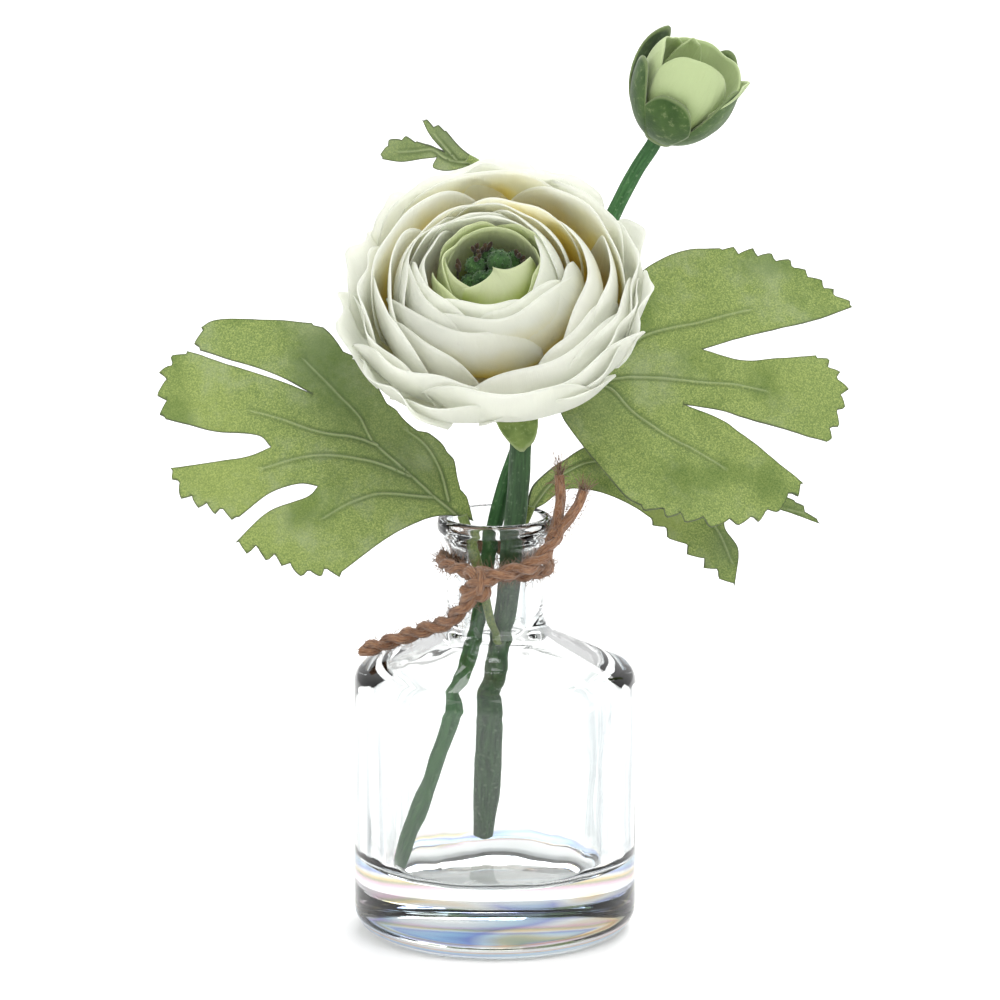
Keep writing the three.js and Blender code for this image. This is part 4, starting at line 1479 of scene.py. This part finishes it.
@dataclass(frozen=True)
class Layer:
    """A layer of petals that share a profile: `gap` is how far their belly lies outside their rim."""

    places: tuple[Place, ...]
    gap: float
    root: Pair = (5.0, 2.5)
    start: float = 0.2
    shoulder: float = 0.6  # height of the shoulder, as a share of the rim's
    # how far the deep colour reaches: partly the silk's cream, partly painted warm shade in the gaps between
    # layers
    root_tint_and_shade: float = 0.3
    shaded_side: float = 180.0  # where round the flower the painted warm shade reaches furthest, in degrees
    power: Pair = (3.6, 5.0)  # how abruptly the corners fall away, from and to
    shift: Pair = (0.0, 0.0)

    def petals(self, rng: random.Random) -> list[Petal]:
        """The layer's petals, each with its own small waves.

        Args:
            rng: The flower's own run of random numbers.

        Returns:
            The petals.
        """
        return [Petal(
            angle=place.angle, half_width=place.half_width, root=self.root,
            belly=(place.radius + self.gap, self.root[1] + 0.5),
            shoulder=((place.radius + self.gap) * 1.06, place.height * self.shoulder),
            rim=(place.radius, place.height), start=self.start, round=place.round,
            power=rng.uniform(*self.power), spiral=place.spiral, flare=place.flare, ruffle=place.ruffle,
            waves=rng.uniform(1.4, 2.6), phase=rng.uniform(0, math.tau), skew=rng.uniform(-0.02, 0.02),
            dent=rng.choice((0.0, 0.0, 0.0, 0.018)), swell=rng.uniform(0.2, 0.5), shift=self.shift,
        ) for place in self.places]

    def depth(self, petal: Petal) -> float:
        """How far up a petal the deep colour reaches, with its painted warm shade."""
        return self.root_tint_and_shade * (0.68 + 0.32 * math.cos(math.radians(petal.angle - self.shaded_side)))


@dataclass
class FlowerHead:
    """A flower's own frame: its +Z is the flower's axis, set at a seat, leaned and turned."""

    seat: Triple
    lean: float  # degrees from the vertical towards the front
    turn: float  # degrees, about the vertical or, for a bud, about the front axis
    turn_axis: str = "Z"

    def matrix(self) -> Matrix:
        """The frame as a matrix in metres.

        Returns:
            The matrix from the flower's frame to the arrangement's.
        """
        turn = Matrix.Rotation(math.radians(self.turn), 4, self.turn_axis)
        lean = Matrix.Rotation(math.radians(self.lean), 4, "X")
        return Matrix.Translation(Vector(self.seat) * MM) @ turn @ lean

    def placed(self, piece: Piece) -> Piece:
        """Moves a piece's mesh from the flower's frame to its place."""
        piece.data.transform(self.matrix())
        return piece


BALL = (
    Place(180, 62, 14.0, 36.0), Place(-95, 62, 14.2, 35.6), Place(92, 60, 14.0, 35.8),
    Place(0, 66, 13.6, 35.6), Place(38, 56, 15.2, 35.2, 1.0), Place(-52, 58, 15.4, 35.2, -0.9),
    Place(-150, 58, 15.8, 35.4), Place(135, 56, 15.8, 35.4), Place(20, 78, 16.8, 34.6, 1.4, 0.5, 0.5, 0.3),
    Place(-62, 62, 17.6, 33.8, -1.6), Place(-108, 58, 18.6, 33.6, 0.9), Place(160, 60, 18.4, 34.6, 0.9),
    Place(-22, 62, 19.8, 31.6, -1.8, 0.0, 0.4, 0.3), Place(64, 50, 18.6, 32.6, 1.0, 0.0, 0.4))

BANDS = (
    Place(-128, 62, 22.6, 34.2, 0.6, -1.3), Place(168, 56, 21.6, 34.8, -0.8, -1.0),
    Place(96, 60, 24.4, 33.4, -1.4, -1.5, 0.3, 0.3), Place(54, 34, 27.8, 31.0, 1.0, -0.8, 0.4, 0.3))

FOLDS = (
    Place(-93, 48, 25.4, 33.0), Place(-122, 52, 28.4, 32.4, 0.8, 0.4),
    Place(-172, 48, 31.6, 31.6, 0.6, 0.4), Place(130, 52, 30.2, 31.6, -0.8, 0.3), Place(90, 40, 28.4, 32.0),
    Place(66, 40, 32.0, 29.4), Place(-66, 40, 28.4, 30.6, -0.8), Place(-40, 38, 25.6, 28.6, -1.2),
    Place(36, 52, 31.4, 30.0, 0.9, -1.2))

OUTER = (
    Place(-150, 36, 33.4, 31.0, 0.8, 0.6, 0.7), Place(172, 38, 34.0, 30.6, 0.8, 0.6, 0.7),
    Place(136, 36, 33.2, 30.6, 0.8, 0.6, 0.7), Place(102, 34, 34.4, 29.4, 0.9, 0.8, 0.8),
    Place(72, 34, 34.2, 27.8, 0.9, 0.8, 0.8), Place(42, 38, 34.8, 27.0, 2.2, 0.6, 0.9, 0.36),
    Place(-86, 36, 32.0, 29.6, 0.8, 0.6, 0.7), Place(-60, 36, 33.0, 27.2, -0.9, 0.6, 0.7),
    Place(-32, 36, 32.8, 27.2, -3.4, 0.6, 0.7, 0.24), Place(6, 40, 34.4, 27.6, 2.4, 0.3, 0.8, 0.36))

LOBES = (
    Place(-77, 24, 37.0, 25.4, 0.6, 2.0, 1.1, 0.42), Place(-104, 25, 35.4, 28.8, 0.6, 1.2, 1.0, 0.42),
    Place(-133, 25, 35.2, 29.6, 0.6, 1.0, 1.0, 0.42), Place(-177, 27, 36.6, 30.2, 0.6, 1.0, 1.0, 0.42),
    Place(151, 25, 36.2, 30.2, 0.6, 1.0, 1.0, 0.42), Place(113, 21, 36.4, 29.4, 0.6, 2.0, 1.2, 0.42),
    Place(87, 24, 36.8, 27.6, 0.6, 1.2, 1.1, 0.42), Place(57, 26, 35.8, 24.6, 0.6, 1.0, 1.0),
    Place(29, 34, 35.2, 22.0, 1.8, 0.8, 1.0, 0.42), Place(-44, 27, 37.0, 22.4, 0.6, 1.4, 1.1, 0.42),
    Place(-13, 34, 35.0, 21.6, -1.8, 0.6, 0.9, 0.42))


@dataclass
class Bloom(FlowerHead):
    """The open flower: white layers round a green heart, with carpels, stamens and a calyx."""

    seat: Triple = (1.2, 2.3, 147.9)
    lean: float = 41.0
    turn: float = -4.5
    seed: int = 7
    thickness: float = 0.3
    layers: tuple[Layer, ...] = (
        Layer(BALL, gap=5.0, root=(6, 9), start=0.3, shoulder=0.78, root_tint_and_shade=0.52, shaded_side=30,
              shift=(-2.0, 0.0)),
        Layer(BANDS, gap=2.6, root=(6, 6), root_tint_and_shade=0.8),
        Layer(FOLDS, gap=1.4, root=(6, 4), root_tint_and_shade=0.72),
        Layer(OUTER, gap=-1.0, root=(5, 3), start=0.14, root_tint_and_shade=0.4),
        Layer(LOBES, gap=-2.4, root=(5, 2.5), start=0.08, root_tint_and_shade=0.15, power=(2.2, 3.0)))
    heart: tuple[Petal, ...] = (
        Petal(180, 72, (5, 8), (12.6, 9), (13, 22), (11.6, 34.4), swell=0.3),
        Petal(-112, 56, (5, 8), (13.2, 9), (13.8, 22), (12, 34.0), spiral=-0.5, ruffle=0.5, waves=1.6),
        Petal(92, 50, (5, 8), (13.2, 9), (13.6, 22), (11.2, 34.6), spiral=0.6, ruffle=0.4, phase=1.0),
        Petal(140, 46, (5, 8), (14, 9), (14.6, 22), (13, 35.4), spiral=0.4, ruffle=0.3, phase=2.0),
        Petal(-70, 40, (6, 9), (13.6, 12), (14.4, 27), (9.8, 33.2), spiral=-2.6, round=0.04),
        Petal(20, 62, (6, 9), (14.4, 11), (15, 30), (12.6, 33.4), spiral=0.4, ruffle=0.4),
        Petal(-30, 56, (6, 9), (14.8, 11), (15.4, 30), (13.2, 34.0), spiral=-0.8, ruffle=0.3, phase=1.4),
        Petal(32, 76, (6, 9), (15, 12), (13.6, 35.0), (0.2, 33.4), bow=9.6, round=0.0, ruffle=0.5, waves=1.3,
              start=0.3),
        Petal(-150, 44, (5, 8), (14, 9), (14.8, 22), (13.2, 35.2), spiral=0.4, ruffle=0.3, phase=3.0))
    sepal_angles: tuple[float, ...] = (18, 88, 158, 228, 302)
    sepal_lengths: tuple[float, ...] = (1.0, 0.8, 0.62, 0.62, 0.8)
    carpel_balls: tuple[Quad, ...] = (
        (1.2, 3.6, 30.6, 3.1), (-4.6, 3.2, 29.4, 2.6), (-3.0, -0.6, 28.6, 2.5), (-0.2, -0.2, 29.2, 2.2),
        (4.8, 0.8, 28.4, 2.6), (-1.6, 6.4, 29.2, 2.4), (4.6, 5.6, 28.6, 2.5), (-6.0, -0.4, 27.4, 2.2))
    anthers: tuple[Triple, ...] = (
        (-4.8, 6.0, 33.0), (-3.4, 5.4, 32.6), (-1.8, 6.2, 33.2), (-4.0, 3.2, 32.6), (5.8, 4.8, 32.2),
        (-8.6, 1.0, 32.0), (7.2, 3.8, 31.2))

    def petals(self) -> Piece:
        """The white layers and the cup that they grow from.

        Returns:
            The dressed white petals.
        """
        rng = random.Random(self.seed)
        blades = [petal.blade(26, 20, self.thickness, layer.depth(petal))
                  for layer in self.layers for petal in layer.petals(rng)]
        cup = turned_piece("cup", [
            (0, 1.2), (5, 1.2), (15, 3.6), (23, 8), (26.5, 13), (24, 14.5), (15, 12.5), (0, 11.5)], 48)
        cup.data.uv_layers.new(name="UVMap")
        # the cup lies deepest, so it takes the deep colour with its painted shade all over
        add_attribute(cup, "root_tint_and_shade", 1.0)
        piece = self.placed(joined("white_petals", blades + [cup]))
        # the yellow root colour stands partly for painted warm shade in the gaps between layers
        finish = SilkFinish("white_silk", root=paint(252, 236, 146), body=paint(250, 248, 230),
                            rim=paint(249, 250, 244), glow=0.66)
        return settle(piece, finish.material(), Slot.PETAL, "bloom_petals")

    def green_heart(self) -> Piece:
        """The green petals round the eye.

        Returns:
            The dressed green petals.
        """
        blades = [petal.blade(24, 18, self.thickness, 0.5) for petal in self.heart]
        piece = self.placed(joined("green_heart", blades))
        finish = SilkFinish("green_silk", root=paint(146, 162, 48), body=paint(204, 216, 134),
                            rim=paint(228, 235, 196), glow=0.5)
        return settle(piece, finish.material(), Slot.HEART, "bloom_heart")

    def carpels(self) -> Piece:
        """The seed heads: a cluster of balls covered in small grains.

        Returns:
            The dressed seed heads.
        """
        rng = random.Random(self.seed + 2)
        beads = []
        for x, y, z, size in self.carpel_balls:
            beads += self.bumpy_ball(Vector((x, y, z)), size, rng)
        stalk = turned_piece("receptacle", [
            (0, 10.9), (5.2, 10.9), (5.4, 16), (5.6, 22), (6.4, 26), (4.4, 28.4), (0, 29)], 32)
        piece = self.placed(joined("carpels", beads + [stalk]))
        finish = FlockFinish("carpel_flock", deep=paint(26, 54, 26), light=paint(72, 110, 56),
                             fleck=paint(120, 152, 96), grain=900)
        return settle(piece, finish.material(), Slot.CARPEL, "bloom_carpels")

    @staticmethod
    def bumpy_ball(centre: Vector, size: float, rng: random.Random) -> list[Piece]:
        """A ball with grains all over it, laid out on a spiral.

        Args:
            centre: The ball's centre, in millimetres.
            size: Its radius, in millimetres.
            rng: The flower's own run of random numbers.

        Returns:
            The ball and its grains.
        """
        deselect()
        bpy.ops.mesh.primitive_ico_sphere_add(subdivisions=3, radius=size * MM, location=centre * MM)
        ball = bpy.context.object
        bpy.ops.object.transform_apply(location=True)
        bpy.ops.object.shade_smooth()
        grains = [ball]
        count = round(18 * size)
        for i in range(count):
            z = 1 - 2 * (i + 0.5) / count
            turn = i * GOLDEN_ANGLE + rng.uniform(-0.15, 0.15)
            ring = math.sqrt(1 - z * z)
            spot = centre + Vector((ring * math.cos(turn), ring * math.sin(turn), z)) * size
            if spot.z < centre.z - 0.4 * size:
                continue
            bpy.ops.mesh.primitive_ico_sphere_add(subdivisions=1, radius=rng.uniform(0.26, 0.42) * MM,
                                                  location=spot * MM)
            bpy.ops.object.transform_apply(location=True)
            bpy.ops.object.shade_smooth()
            grains.append(bpy.context.object)
        return grains

    def stamens(self) -> Piece:
        """Thin filaments with brown anthers, in a collar round the carpels.

        Returns:
            The dressed stamens.
        """
        rng = random.Random(self.seed + 3)
        parts = []
        for spot in self.anthers:
            tip = np.array(spot)
            radial = tip * (1, 1, 0) / np.linalg.norm(tip[:2])
            line = smooth_path([radial * 5.4 + (0, 0, 11.4), radial * 6.2 + (0, 0, 18),
                                tip * (1.05, 1.05, 0) + (0, 0, tip[2] - 5), tip], 0.8)
            parts.append(swept(line, 0.25, 8))
            tilt = np.array((rng.uniform(-0.5, 0.5), rng.uniform(-0.4, 0.4), 1.0))
            across = np.array((radial[1], -radial[0], 0))
            for side in (-0.5, 0.5):
                lobe = np.array([tip + across * side + (tilt + across * side * 0.5) * h
                                 for h in (-1.3, -1.0, -0.3, 0.4, 1.1, 1.5)])
                parts.append(swept(lobe, np.array((0.05, 0.4, 0.6, 0.62, 0.42, 0.05)), 10))
        collar = turned_piece("collar", [(5.0, 10.9), (5.8, 10.9), (5.8, 11.9), (5.0, 11.9), (5.0, 10.9)], 40)
        collar.data.uv_layers.new(name="UVMap")
        piece = self.placed(joined("stamens", [Shape.gathered(parts).piece("stamens"), collar]))
        finish = FlockFinish("anther_dust", deep=paint(36, 26, 14), light=paint(66, 48, 24),
                             fleck=paint(92, 74, 40), fleck_share=0.3, grain=1400)
        return settle(piece, finish.material(), Slot.STAMEN, "bloom_stamens")

    def calyx(self) -> Piece:
        """The green sepals turned back under the flower, and the cup over the stem.

        Returns:
            The dressed sepals and cup.
        """
        blades = [Petal(
            angle, 25, (2.5, -1.6), (10, -1.6), (16.5, -6), (21.5, -15.5), start=0.02, end=length, round=0.5,
            power=1.5, ruffle=0.5, waves=1.5, phase=angle, dent=0.03,
        ).blade(18, 20, 0.45) for angle, length in zip(self.sepal_angles, self.sepal_lengths)]
        cup = turned_piece("calyx_cup", [
            (0, -4), (3, -4), (4.1, -3.4), (4.7, -2.4), (5, -1), (4.9, 0.4), (4.4, 1.2), (0, 1.2)], 32)
        piece = self.placed(joined("calyx", blades + [cup]))
        finish = FlockFinish("calyx_flock", deep=paint(82, 104, 50), light=paint(126, 146, 80),
                             fleck=paint(166, 180, 128), grain=900, edge_share=0.5)
        return settle(piece, finish.material(), Slot.SEPAL, "bloom_calyx")

    def build(self) -> list[Piece]:
        """Builds and dresses every piece of the bloom."""
        return [self.petals(), self.green_heart(), self.carpels(), self.stamens(), self.calyx()]


@dataclass
class Bud(FlowerHead):
    """The closed green bud: folded petals in a cup of five sepals."""

    seat: Triple = (41.2, 27.1, 198.1)
    lean: float = 10.5
    turn: float = 25.0
    turn_axis: str = "Y"
    folded: tuple[Petal, ...] = (
        Petal(196, 34, (2, 2), (8.6, 4), (10.6, 17), (6.6, 25.0), round=0.3, ruffle=0.4),
        Petal(30, 80, (2, 2), (8.8, 4), (10.2, 15), (3.2, 20.6), round=0.1),
        Petal(250, 64, (2, 2), (9.8, 3.4), (13.4, 16), (9.6, 24.0), round=0.22, power=3.0, flare=-0.6,
              ruffle=0.3),
        Petal(156, 70, (2, 2), (10.2, 3.4), (14.0, 16), (10.8, 24.2), round=0.2, power=4.0, flare=0.7,
              ruffle=0.4),
        Petal(86, 44, (2, 2), (9.0, 6.6), (14.6, 15), (13.4, 22.6), round=0.3, power=2.6, flare=0.6,
              ruffle=0.4),
        Petal(6, 54, (2, 2), (10.0, 2.6), (14.2, 14), (9.4, 25.2), round=0.2, power=3.6, spiral=0.3,
              ruffle=0.6, waves=1.5, phase=0.5))

    def petals(self) -> Piece:
        """The folded petals, closed over one another.

        Returns:
            The dressed petals.
        """
        blades = [petal.blade(26, 22, 0.45, 0.4) for petal in self.folded]
        core = turned_piece("bud_core", [
            (0, 1.2), (4, 1.2), (6.4, 3.4), (8.2, 7), (9, 11), (8.2, 15), (6.0, 18), (3, 19.4),
            (0, 19.8)], 40)
        core.data.uv_layers.new(name="UVMap")
        add_attribute(core, "root_tint_and_shade", 1.0)
        piece = self.placed(joined("bud_petals_folded", blades + [core]))
        finish = SilkFinish("pale_green_silk", root=paint(152, 172, 84), body=paint(170, 190, 130),
                            rim=paint(190, 206, 154), glow=0.18)
        return settle(piece, finish.material(), Slot.BUD, "bud_petals")

    def sepals(self) -> Piece:
        """The cup of sepals and the seat on the stem.

        Returns:
            The dressed sepals and seat.
        """
        shapes = ((-7, 38, 0.80, 0.36), (60, 31, 0.98, 0.5), (142, 34, 1.07, 0.3), (231, 30, 1.07, 0.36),
                  (297, 34, 0.93, 0.7))
        blades = [Petal(
            angle, half, (1.5, -0.6), (8.4, 0.2), (15.2, 9.0), (13.4, 22.0), start=0.03, end=length,
            round=corner, power=2.4, spiral=0.35, ruffle=0.35, waves=1.2, phase=angle,
        ).blade(24, 26, 0.5) for angle, half, length, corner in shapes]
        seat = turned_piece("bud_seat", [
            (0, -1.5), (2.2, -1.5), (3.4, -1.1), (4.4, 0), (4.4, 0.6), (0, 0.6)], 32)
        piece = self.placed(joined("bud_sepals_cup", blades + [seat]))
        finish = FlockFinish("sepal_flock", deep=paint(38, 66, 24), light=paint(76, 104, 48),
                             fleck=paint(132, 146, 102), grain=560, edge_share=0.6)
        return settle(piece, finish.material(), Slot.SEPAL, "bud_sepals")

    def build(self) -> list[Piece]:
        """Builds and dresses the bud."""
        return [self.petals(), self.sepals()]


# ---------------------------------------------------------------- the studio


@dataclass
class Studio:
    """A plain pale floor, soft light and the camera."""

    distance: float = 1600.0
    elevation: float = 12.0
    target: Triple = (1.25, 0.0, 110.442)
    lens: float = 230.4
    floor_size: float = 14.0  # metres
    world_light: float = 0.9
    world_sides: Pair = (1.1, 0.72)  # factors on it near the middle plane and straight from a side
    lamps: tuple[tuple[Triple, float, float], ...] = (  # place, size and power
        ((0.8, -1.0, 1.7), 1.6, 24.0), ((-1.3, -0.7, 1.1), 1.3, 8.0), ((0.3, 1.2, 1.5), 1.4, 28.0))

    def camera(self) -> None:
        """Sets the camera in front of the flower, looking slightly down."""
        angle = math.radians(self.elevation)
        x, y, z = self.target
        place = Vector((x, y - self.distance * math.cos(angle), z + self.distance * math.sin(angle))) * MM
        bpy.ops.object.camera_add(location=place, rotation=(math.pi / 2 - angle, 0, 0))
        camera = bpy.context.object
        camera.data.lens = self.lens
        camera.data.sensor_width = 36.0
        camera.data.clip_end = 50.0
        bpy.context.scene.camera = camera

    def floor(self) -> None:
        """Lays the floor."""
        deselect()
        bpy.ops.mesh.primitive_plane_add(size=self.floor_size)
        ground = bpy.context.object
        ground.name = "studio_floor"
        w = Wiring(bpy.data.materials.new("pale_floor"))
        mottle = w.speckle(w.place(), 3.0, 3.0)
        colour = w.ramp(mottle, [(0.3, (0.93, 0.93, 0.93, 1)), (0.7, (0.95, 0.95, 0.95, 1))])
        shader = w.node("ShaderNodeBsdfPrincipled", {"Base Color": colour, "Roughness": 0.9})
        ground.data.materials.append(w.finished(shader.outputs["BSDF"]))

    def light(self, place: Triple, size: float, power: float) -> None:
        """One square soft light, facing the flower.

        Args:
            place: Where it stands, in metres.
            size: The side of its square, in metres.
            power: Its power, in watts.
        """
        spot = Vector(place)
        aim = (Vector((0, 0, 0.12)) - spot).to_track_quat("-Z", "Y").to_euler()
        bpy.ops.object.light_add(type="AREA", location=spot, rotation=aim)
        lamp = bpy.context.object.data
        lamp.size = size
        lamp.energy = power

    def world(self) -> None:
        """The room's own light: white above, behind and in front, greyer at the two sides."""
        w = Wiring(bpy.data.worlds.new("studio"), "ShaderNodeOutputWorld")
        place = w.node("ShaderNodeTexCoord").outputs["Generated"]
        ahead, aside = self.world_sides
        shade = w.node("ShaderNodeMapRange", {
            "Value": w.sums("ABSOLUTE", w.parts(place)["X"]),
            "From Min": 0.3, "From Max": 1.0, "To Min": ahead, "To Max": aside}).outputs["Result"]
        glow = w.node("ShaderNodeBackground", {"Strength": w.times(shade, self.world_light)})
        bpy.context.scene.world = w.finished(glow.outputs["Background"])

    def build(self) -> None:
        """Sets up floor, lights, room and camera."""
        self.floor()
        self.world()
        for lamp in self.lamps:
            self.light(*lamp)
        self.camera()
        bpy.context.scene.view_settings.view_transform = "Standard"


# ---------------------------------------------------------------- the arrangement

FLOWER_STEM = Stem(
    name="flower_stem", node="stem_flower", radii=(2.9, 2.7),
    route=((-3.8, 19.5, 19.9), (-2.2, 15, 39), (-0.6, 9.5, 57), (1.2, 4.2, 72), (3, 0.3, 84), (4.2, -1, 98),
           (5.4, -0.6, 108), (6.3, 1.4, 120), (6.2, 4.6, 130.5), (3.8, 7.6, 137), (0.9, 7.7, 141.7),
           (1, 5.3, 144.5)),
    finish=StemFinish("dark_stem", deep=paint(36, 60, 36), light=paint(68, 102, 62),
                      seam=paint(142, 166, 132)))

BUD_STEM = Stem(
    name="bud_stem", node="stem_bud", radii=(2.05, 1.9),
    route=((-23.6, -9.4, 18.8), (-17.2, -5.5, 36), (-11.5, -2.5, 53), (-6.9, -0.2, 68), (-4.7, 1.2, 78),
           (-2.9, 3, 90), (-0.4, 4.2, 102), (2.2, 6.2, 112), (8.2, 12.6, 127.5), (13.2, 18.2, 139),
           (18.4, 22.6, 152), (24.4, 25, 166), (30.6, 26.2, 180), (35.9, 27.1, 190), (39.6, 27.3, 195.6),
           (40.8, 27.2, 198)),
    finish=StemFinish("fresh_stem", deep=paint(32, 74, 32), light=paint(64, 114, 60),
                      seam=paint(128, 164, 116)))

LEAVES = (
    Leaf(
        name="left_leaf", node="leaf_left", seat=(-7.2, -4, 105.7), pitch=24, yaw=12, seed=3,
        tones=((-26, 38, 20, 0.7), (-12, 14, 12, 0.5), (-60, 12, 18, -0.5), (-40, -4, 16, -0.3),
               (-62, 36, 15, -0.4)),
        relief=Relief(axis=154, length=78, arch=0.1, droop=0.2, cup=0.1, wave=1.6, waves=5, phase=0.6),
        margin=(
            Run(((2, 0), (-1, 10), (-4, 19), (-14, 26.5), (-22, 38), (-30.5, 49.5), (-34.5, 53)), 7, 0.9),
            Run(((-46.5, 55), (-58.5, 56), (-61.5, 54.5))),
            Run(((-62.5, 48.5),), 1, 2.6),
            Run(((-55, 45), (-44, 39.9), (-36, 34.5))),
            Run(((-44, 38.7), (-55, 43.6), (-65.5, 48.5))),
            Run(((-71, 44.5), (-72.5, 38), (-72.5, 31)), 4, 2.2),
            Run(((-62.5, 27), (-50, 24.5), (-47.5, 21.5))),
            Run(((-53, 19.5), (-63, 18.5), (-72.5, 18))),
            Run(((-69.5, 10.5), (-57, 4)), 5, 2.2),
            Run(((-48, 10), (-41, 11.5), (-37, 10.5))),
            Run(((-39, 8.5), (-49.5, 5), (-58.5, -2.5))),
            Run(((-48, -7.5), (-42.5, -11), (-32, -11)), 6, 2.6),
            Run(((-19, -2.6), (-8.5, 1.5), (-2, 1.7)))),
        veins=(
            ((-1, 0.5), (-8.5, 7.5), (-15, 14), (-22, 21.5), (-25, 28), (-30.5, 35), (-37, 43.5)),
            ((-21, 20.5), (-26, 22.5), (-34.5, 24.5), (-43, 28), (-51, 31)),
            ((-13.5, 12), (-19.5, 15), (-25.5, 17), (-33.5, 18.5), (-41.5, 18), (-50, 16)),
            ((-7.5, 6.5), (-12.5, 7), (-22, 8), (-29, 6), (-36, 2.5)),
            ((-4, 5.5), (-5.5, 13.5), (-9, 20), (-13, 23.5))),
        stalk=((-8.2, -4.2, 107.4), (-6, -3.8, 101.5), (-3.9, -4.6, 95), (-2.4, -5.4, 88), (-0.9, -4.2, 80),
               (0.9, -0.5, 73.5)),
        stalk_radii=(1.3, 0.9)),
    Leaf(
        name="right_leaf", node="leaf_right", seat=(15.4, 17, 134.1), pitch=28, yaw=8, seed=5,
        tones=((8, 0, 14, 0.6), (30, 25, 22, -0.2), (60, 5, 16, -0.3), (45, -25, 18, -0.2)),
        relief=Relief(axis=3, length=76, arch=0.1, droop=0.16, cup=0.08, wave=1.4, waves=5, phase=2),
        margin=(
            Run(((0, 2), (5.5, 11), (15, 22.5), (25, 32), (34.5, 36.5), (44.5, 37.5))),
            Run(((61, 34.5), (71, 28.5), (78.5, 22.5)), 8, 1.7),
            Run(((68, 18.5), (48.5, 13.5), (38, 10.5))),
            Run(((48.5, 7.5), (57, 8), (67.5, 9))),
            Run(((72, 5), (74, -1), (68.5, -14)), 6, 2.4),
            Run(((53, -9.5), (40, -5.5), (32, -4))),
            Run(((41, -8), (48, -13.5), (61.5, -25))),
            Run(((52, -32.5), (38, -35.5), (18.5, -30)), 8, 2.2),
            Run(((16, -28.5), (8.5, -18), (1.5, -7), (0, -1.5)))),
        veins=(
            ((2.5, 0.5), (10, 3.5), (19, 11), (22.5, 14), (30.5, 16.5), (39, 18), (51, 21)),
            ((2.5, 0.5), (13, 3), (22, 3.5), (34.5, 2), (44, 1), (53.5, -0.5)),
            ((2.5, 0.5), (12.5, 1.5), (18.5, -5), (25.5, -11), (33, -15.5), (40.5, -20.5))),
        stalk=((20, 18, 134.6), (17, 17.6, 134.6), (14.4, 17.2, 134.8)), stalk_radii=(1.4, 1.4)),
    Leaf(
        name="low_right_leaf", node="leaf_right_low", seat=(9, 3.9, 104.5), pitch=5, yaw=22, seed=8,
        tones=((56, -10, 9, 0.7), (40, 0, 10, -0.9), (72, -2, 8, 0.5)),
        relief=Relief(axis=5, length=70, arch=-0.3, droop=-0.31, cup=0, wave=0.8, waves=4, phase=0),
        margin=(
            Run(((-1.3, 1.5), (0.5, 7.5), (4, 10.5), (10.5, 14), (18, 17), (32, 17.5), (47.5, 12.5), (63, 4),
                 (72, -0.5))),
            Run(((78.5, -7),), 2, 0.9),
            Run(((71.5, -4), (63, -0.5), (57.5, 0.5))),
            Run(((54.5, -6), (58, -12.5), (57, -22))),
            Run(((50, -16), (42.5, -9.5), (35, -3)), 5, 2.2),
            Run(((30, 0.5), (20.5, 5), (11, 6.5), (4.5, 3.6), (0.8, 2.2)))),
        veins=(
            ((0, 2), (5, 7), (11, 11), (19, 13), (32, 9.5), (45.5, 3.5)),
            ((45.5, 3.5), (53, -8), (56.5, -16)),
            ((45.5, 3.5), (61, 0), (74.5, -4))),
        stalk=((9, 4, 108), (7, 3.8, 103), (4, 3.8, 96.5), (3.4, 3.6, 88)), stalk_radii=(1.2, 0.9)),
    Leaf(
        name="small_top_leaf", node="leaf_small", seat=(-6.3, 27.5, 192.5), pitch=-8, yaw=-6, seed=11,
        tones=((-5, 6, 5, 0.8), (-18, 2, 5, 0.2)),
        grain=0.6, crumple=0.3, frost=0.6,
        relief=Relief(axis=160, length=24, arch=0, droop=0.1, cup=0, wave=0.5, waves=4, phase=0),
        margin=(
            Run(((2, -0.5), (-2, 2.5), (-6, 7))),
            Run(((-12, 9.5),), 2, 1.0),
            Run(((-10, 5.5), (-6.5, 1.5))),
            Run(((-10, 3), (-13.5, 4))),
            Run(((-17.5, 4.5), (-21, 3), (-22.5, -1)), 3, 1.2),
            Run(((-17.5, -1.5), (-12, -0.5), (-8.5, 0))),
            Run(((-9.5, -2.5), (-6.5, -3.5), (1, -2)))),
        veins=(
            ((1, -1), (-3.5, -1), (-6.5, 0), (-9.5, 2), (-13.5, 1.5), (-18, 1)),
            ((-3.5, -0.5), (-6.5, 3), (-9, 6))),
        stalk=((-7, 27.5, 192.6), (-3, 28.3, 190), (3, 29.6, 182), (8.6, 28.8, 170), (13.2, 26.8, 160),
               (16.9, 25, 153)),
        stalk_radii=(1.1, 0.8)))


def report(piece: Piece) -> None:
    """Logs a finished piece and how many faces it has."""
    LOG.info("%s: %d faces", piece.name, len(piece.data.polygons))


def main() -> None:
    """Builds the arrangement from the foot up, then the studio."""
    logging.basicConfig(level=logging.INFO, format="%(message)s")
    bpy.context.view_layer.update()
    deselect()
    report(Bottle().build())
    for piece in JuteTie().build():
        report(piece)
    for part in (FLOWER_STEM, BUD_STEM, *LEAVES):
        report(part.build())
    for piece in (*Bloom().build(), *Bud().build()):
        report(piece)
    Studio().build()


if __name__ == "__main__":
    main()
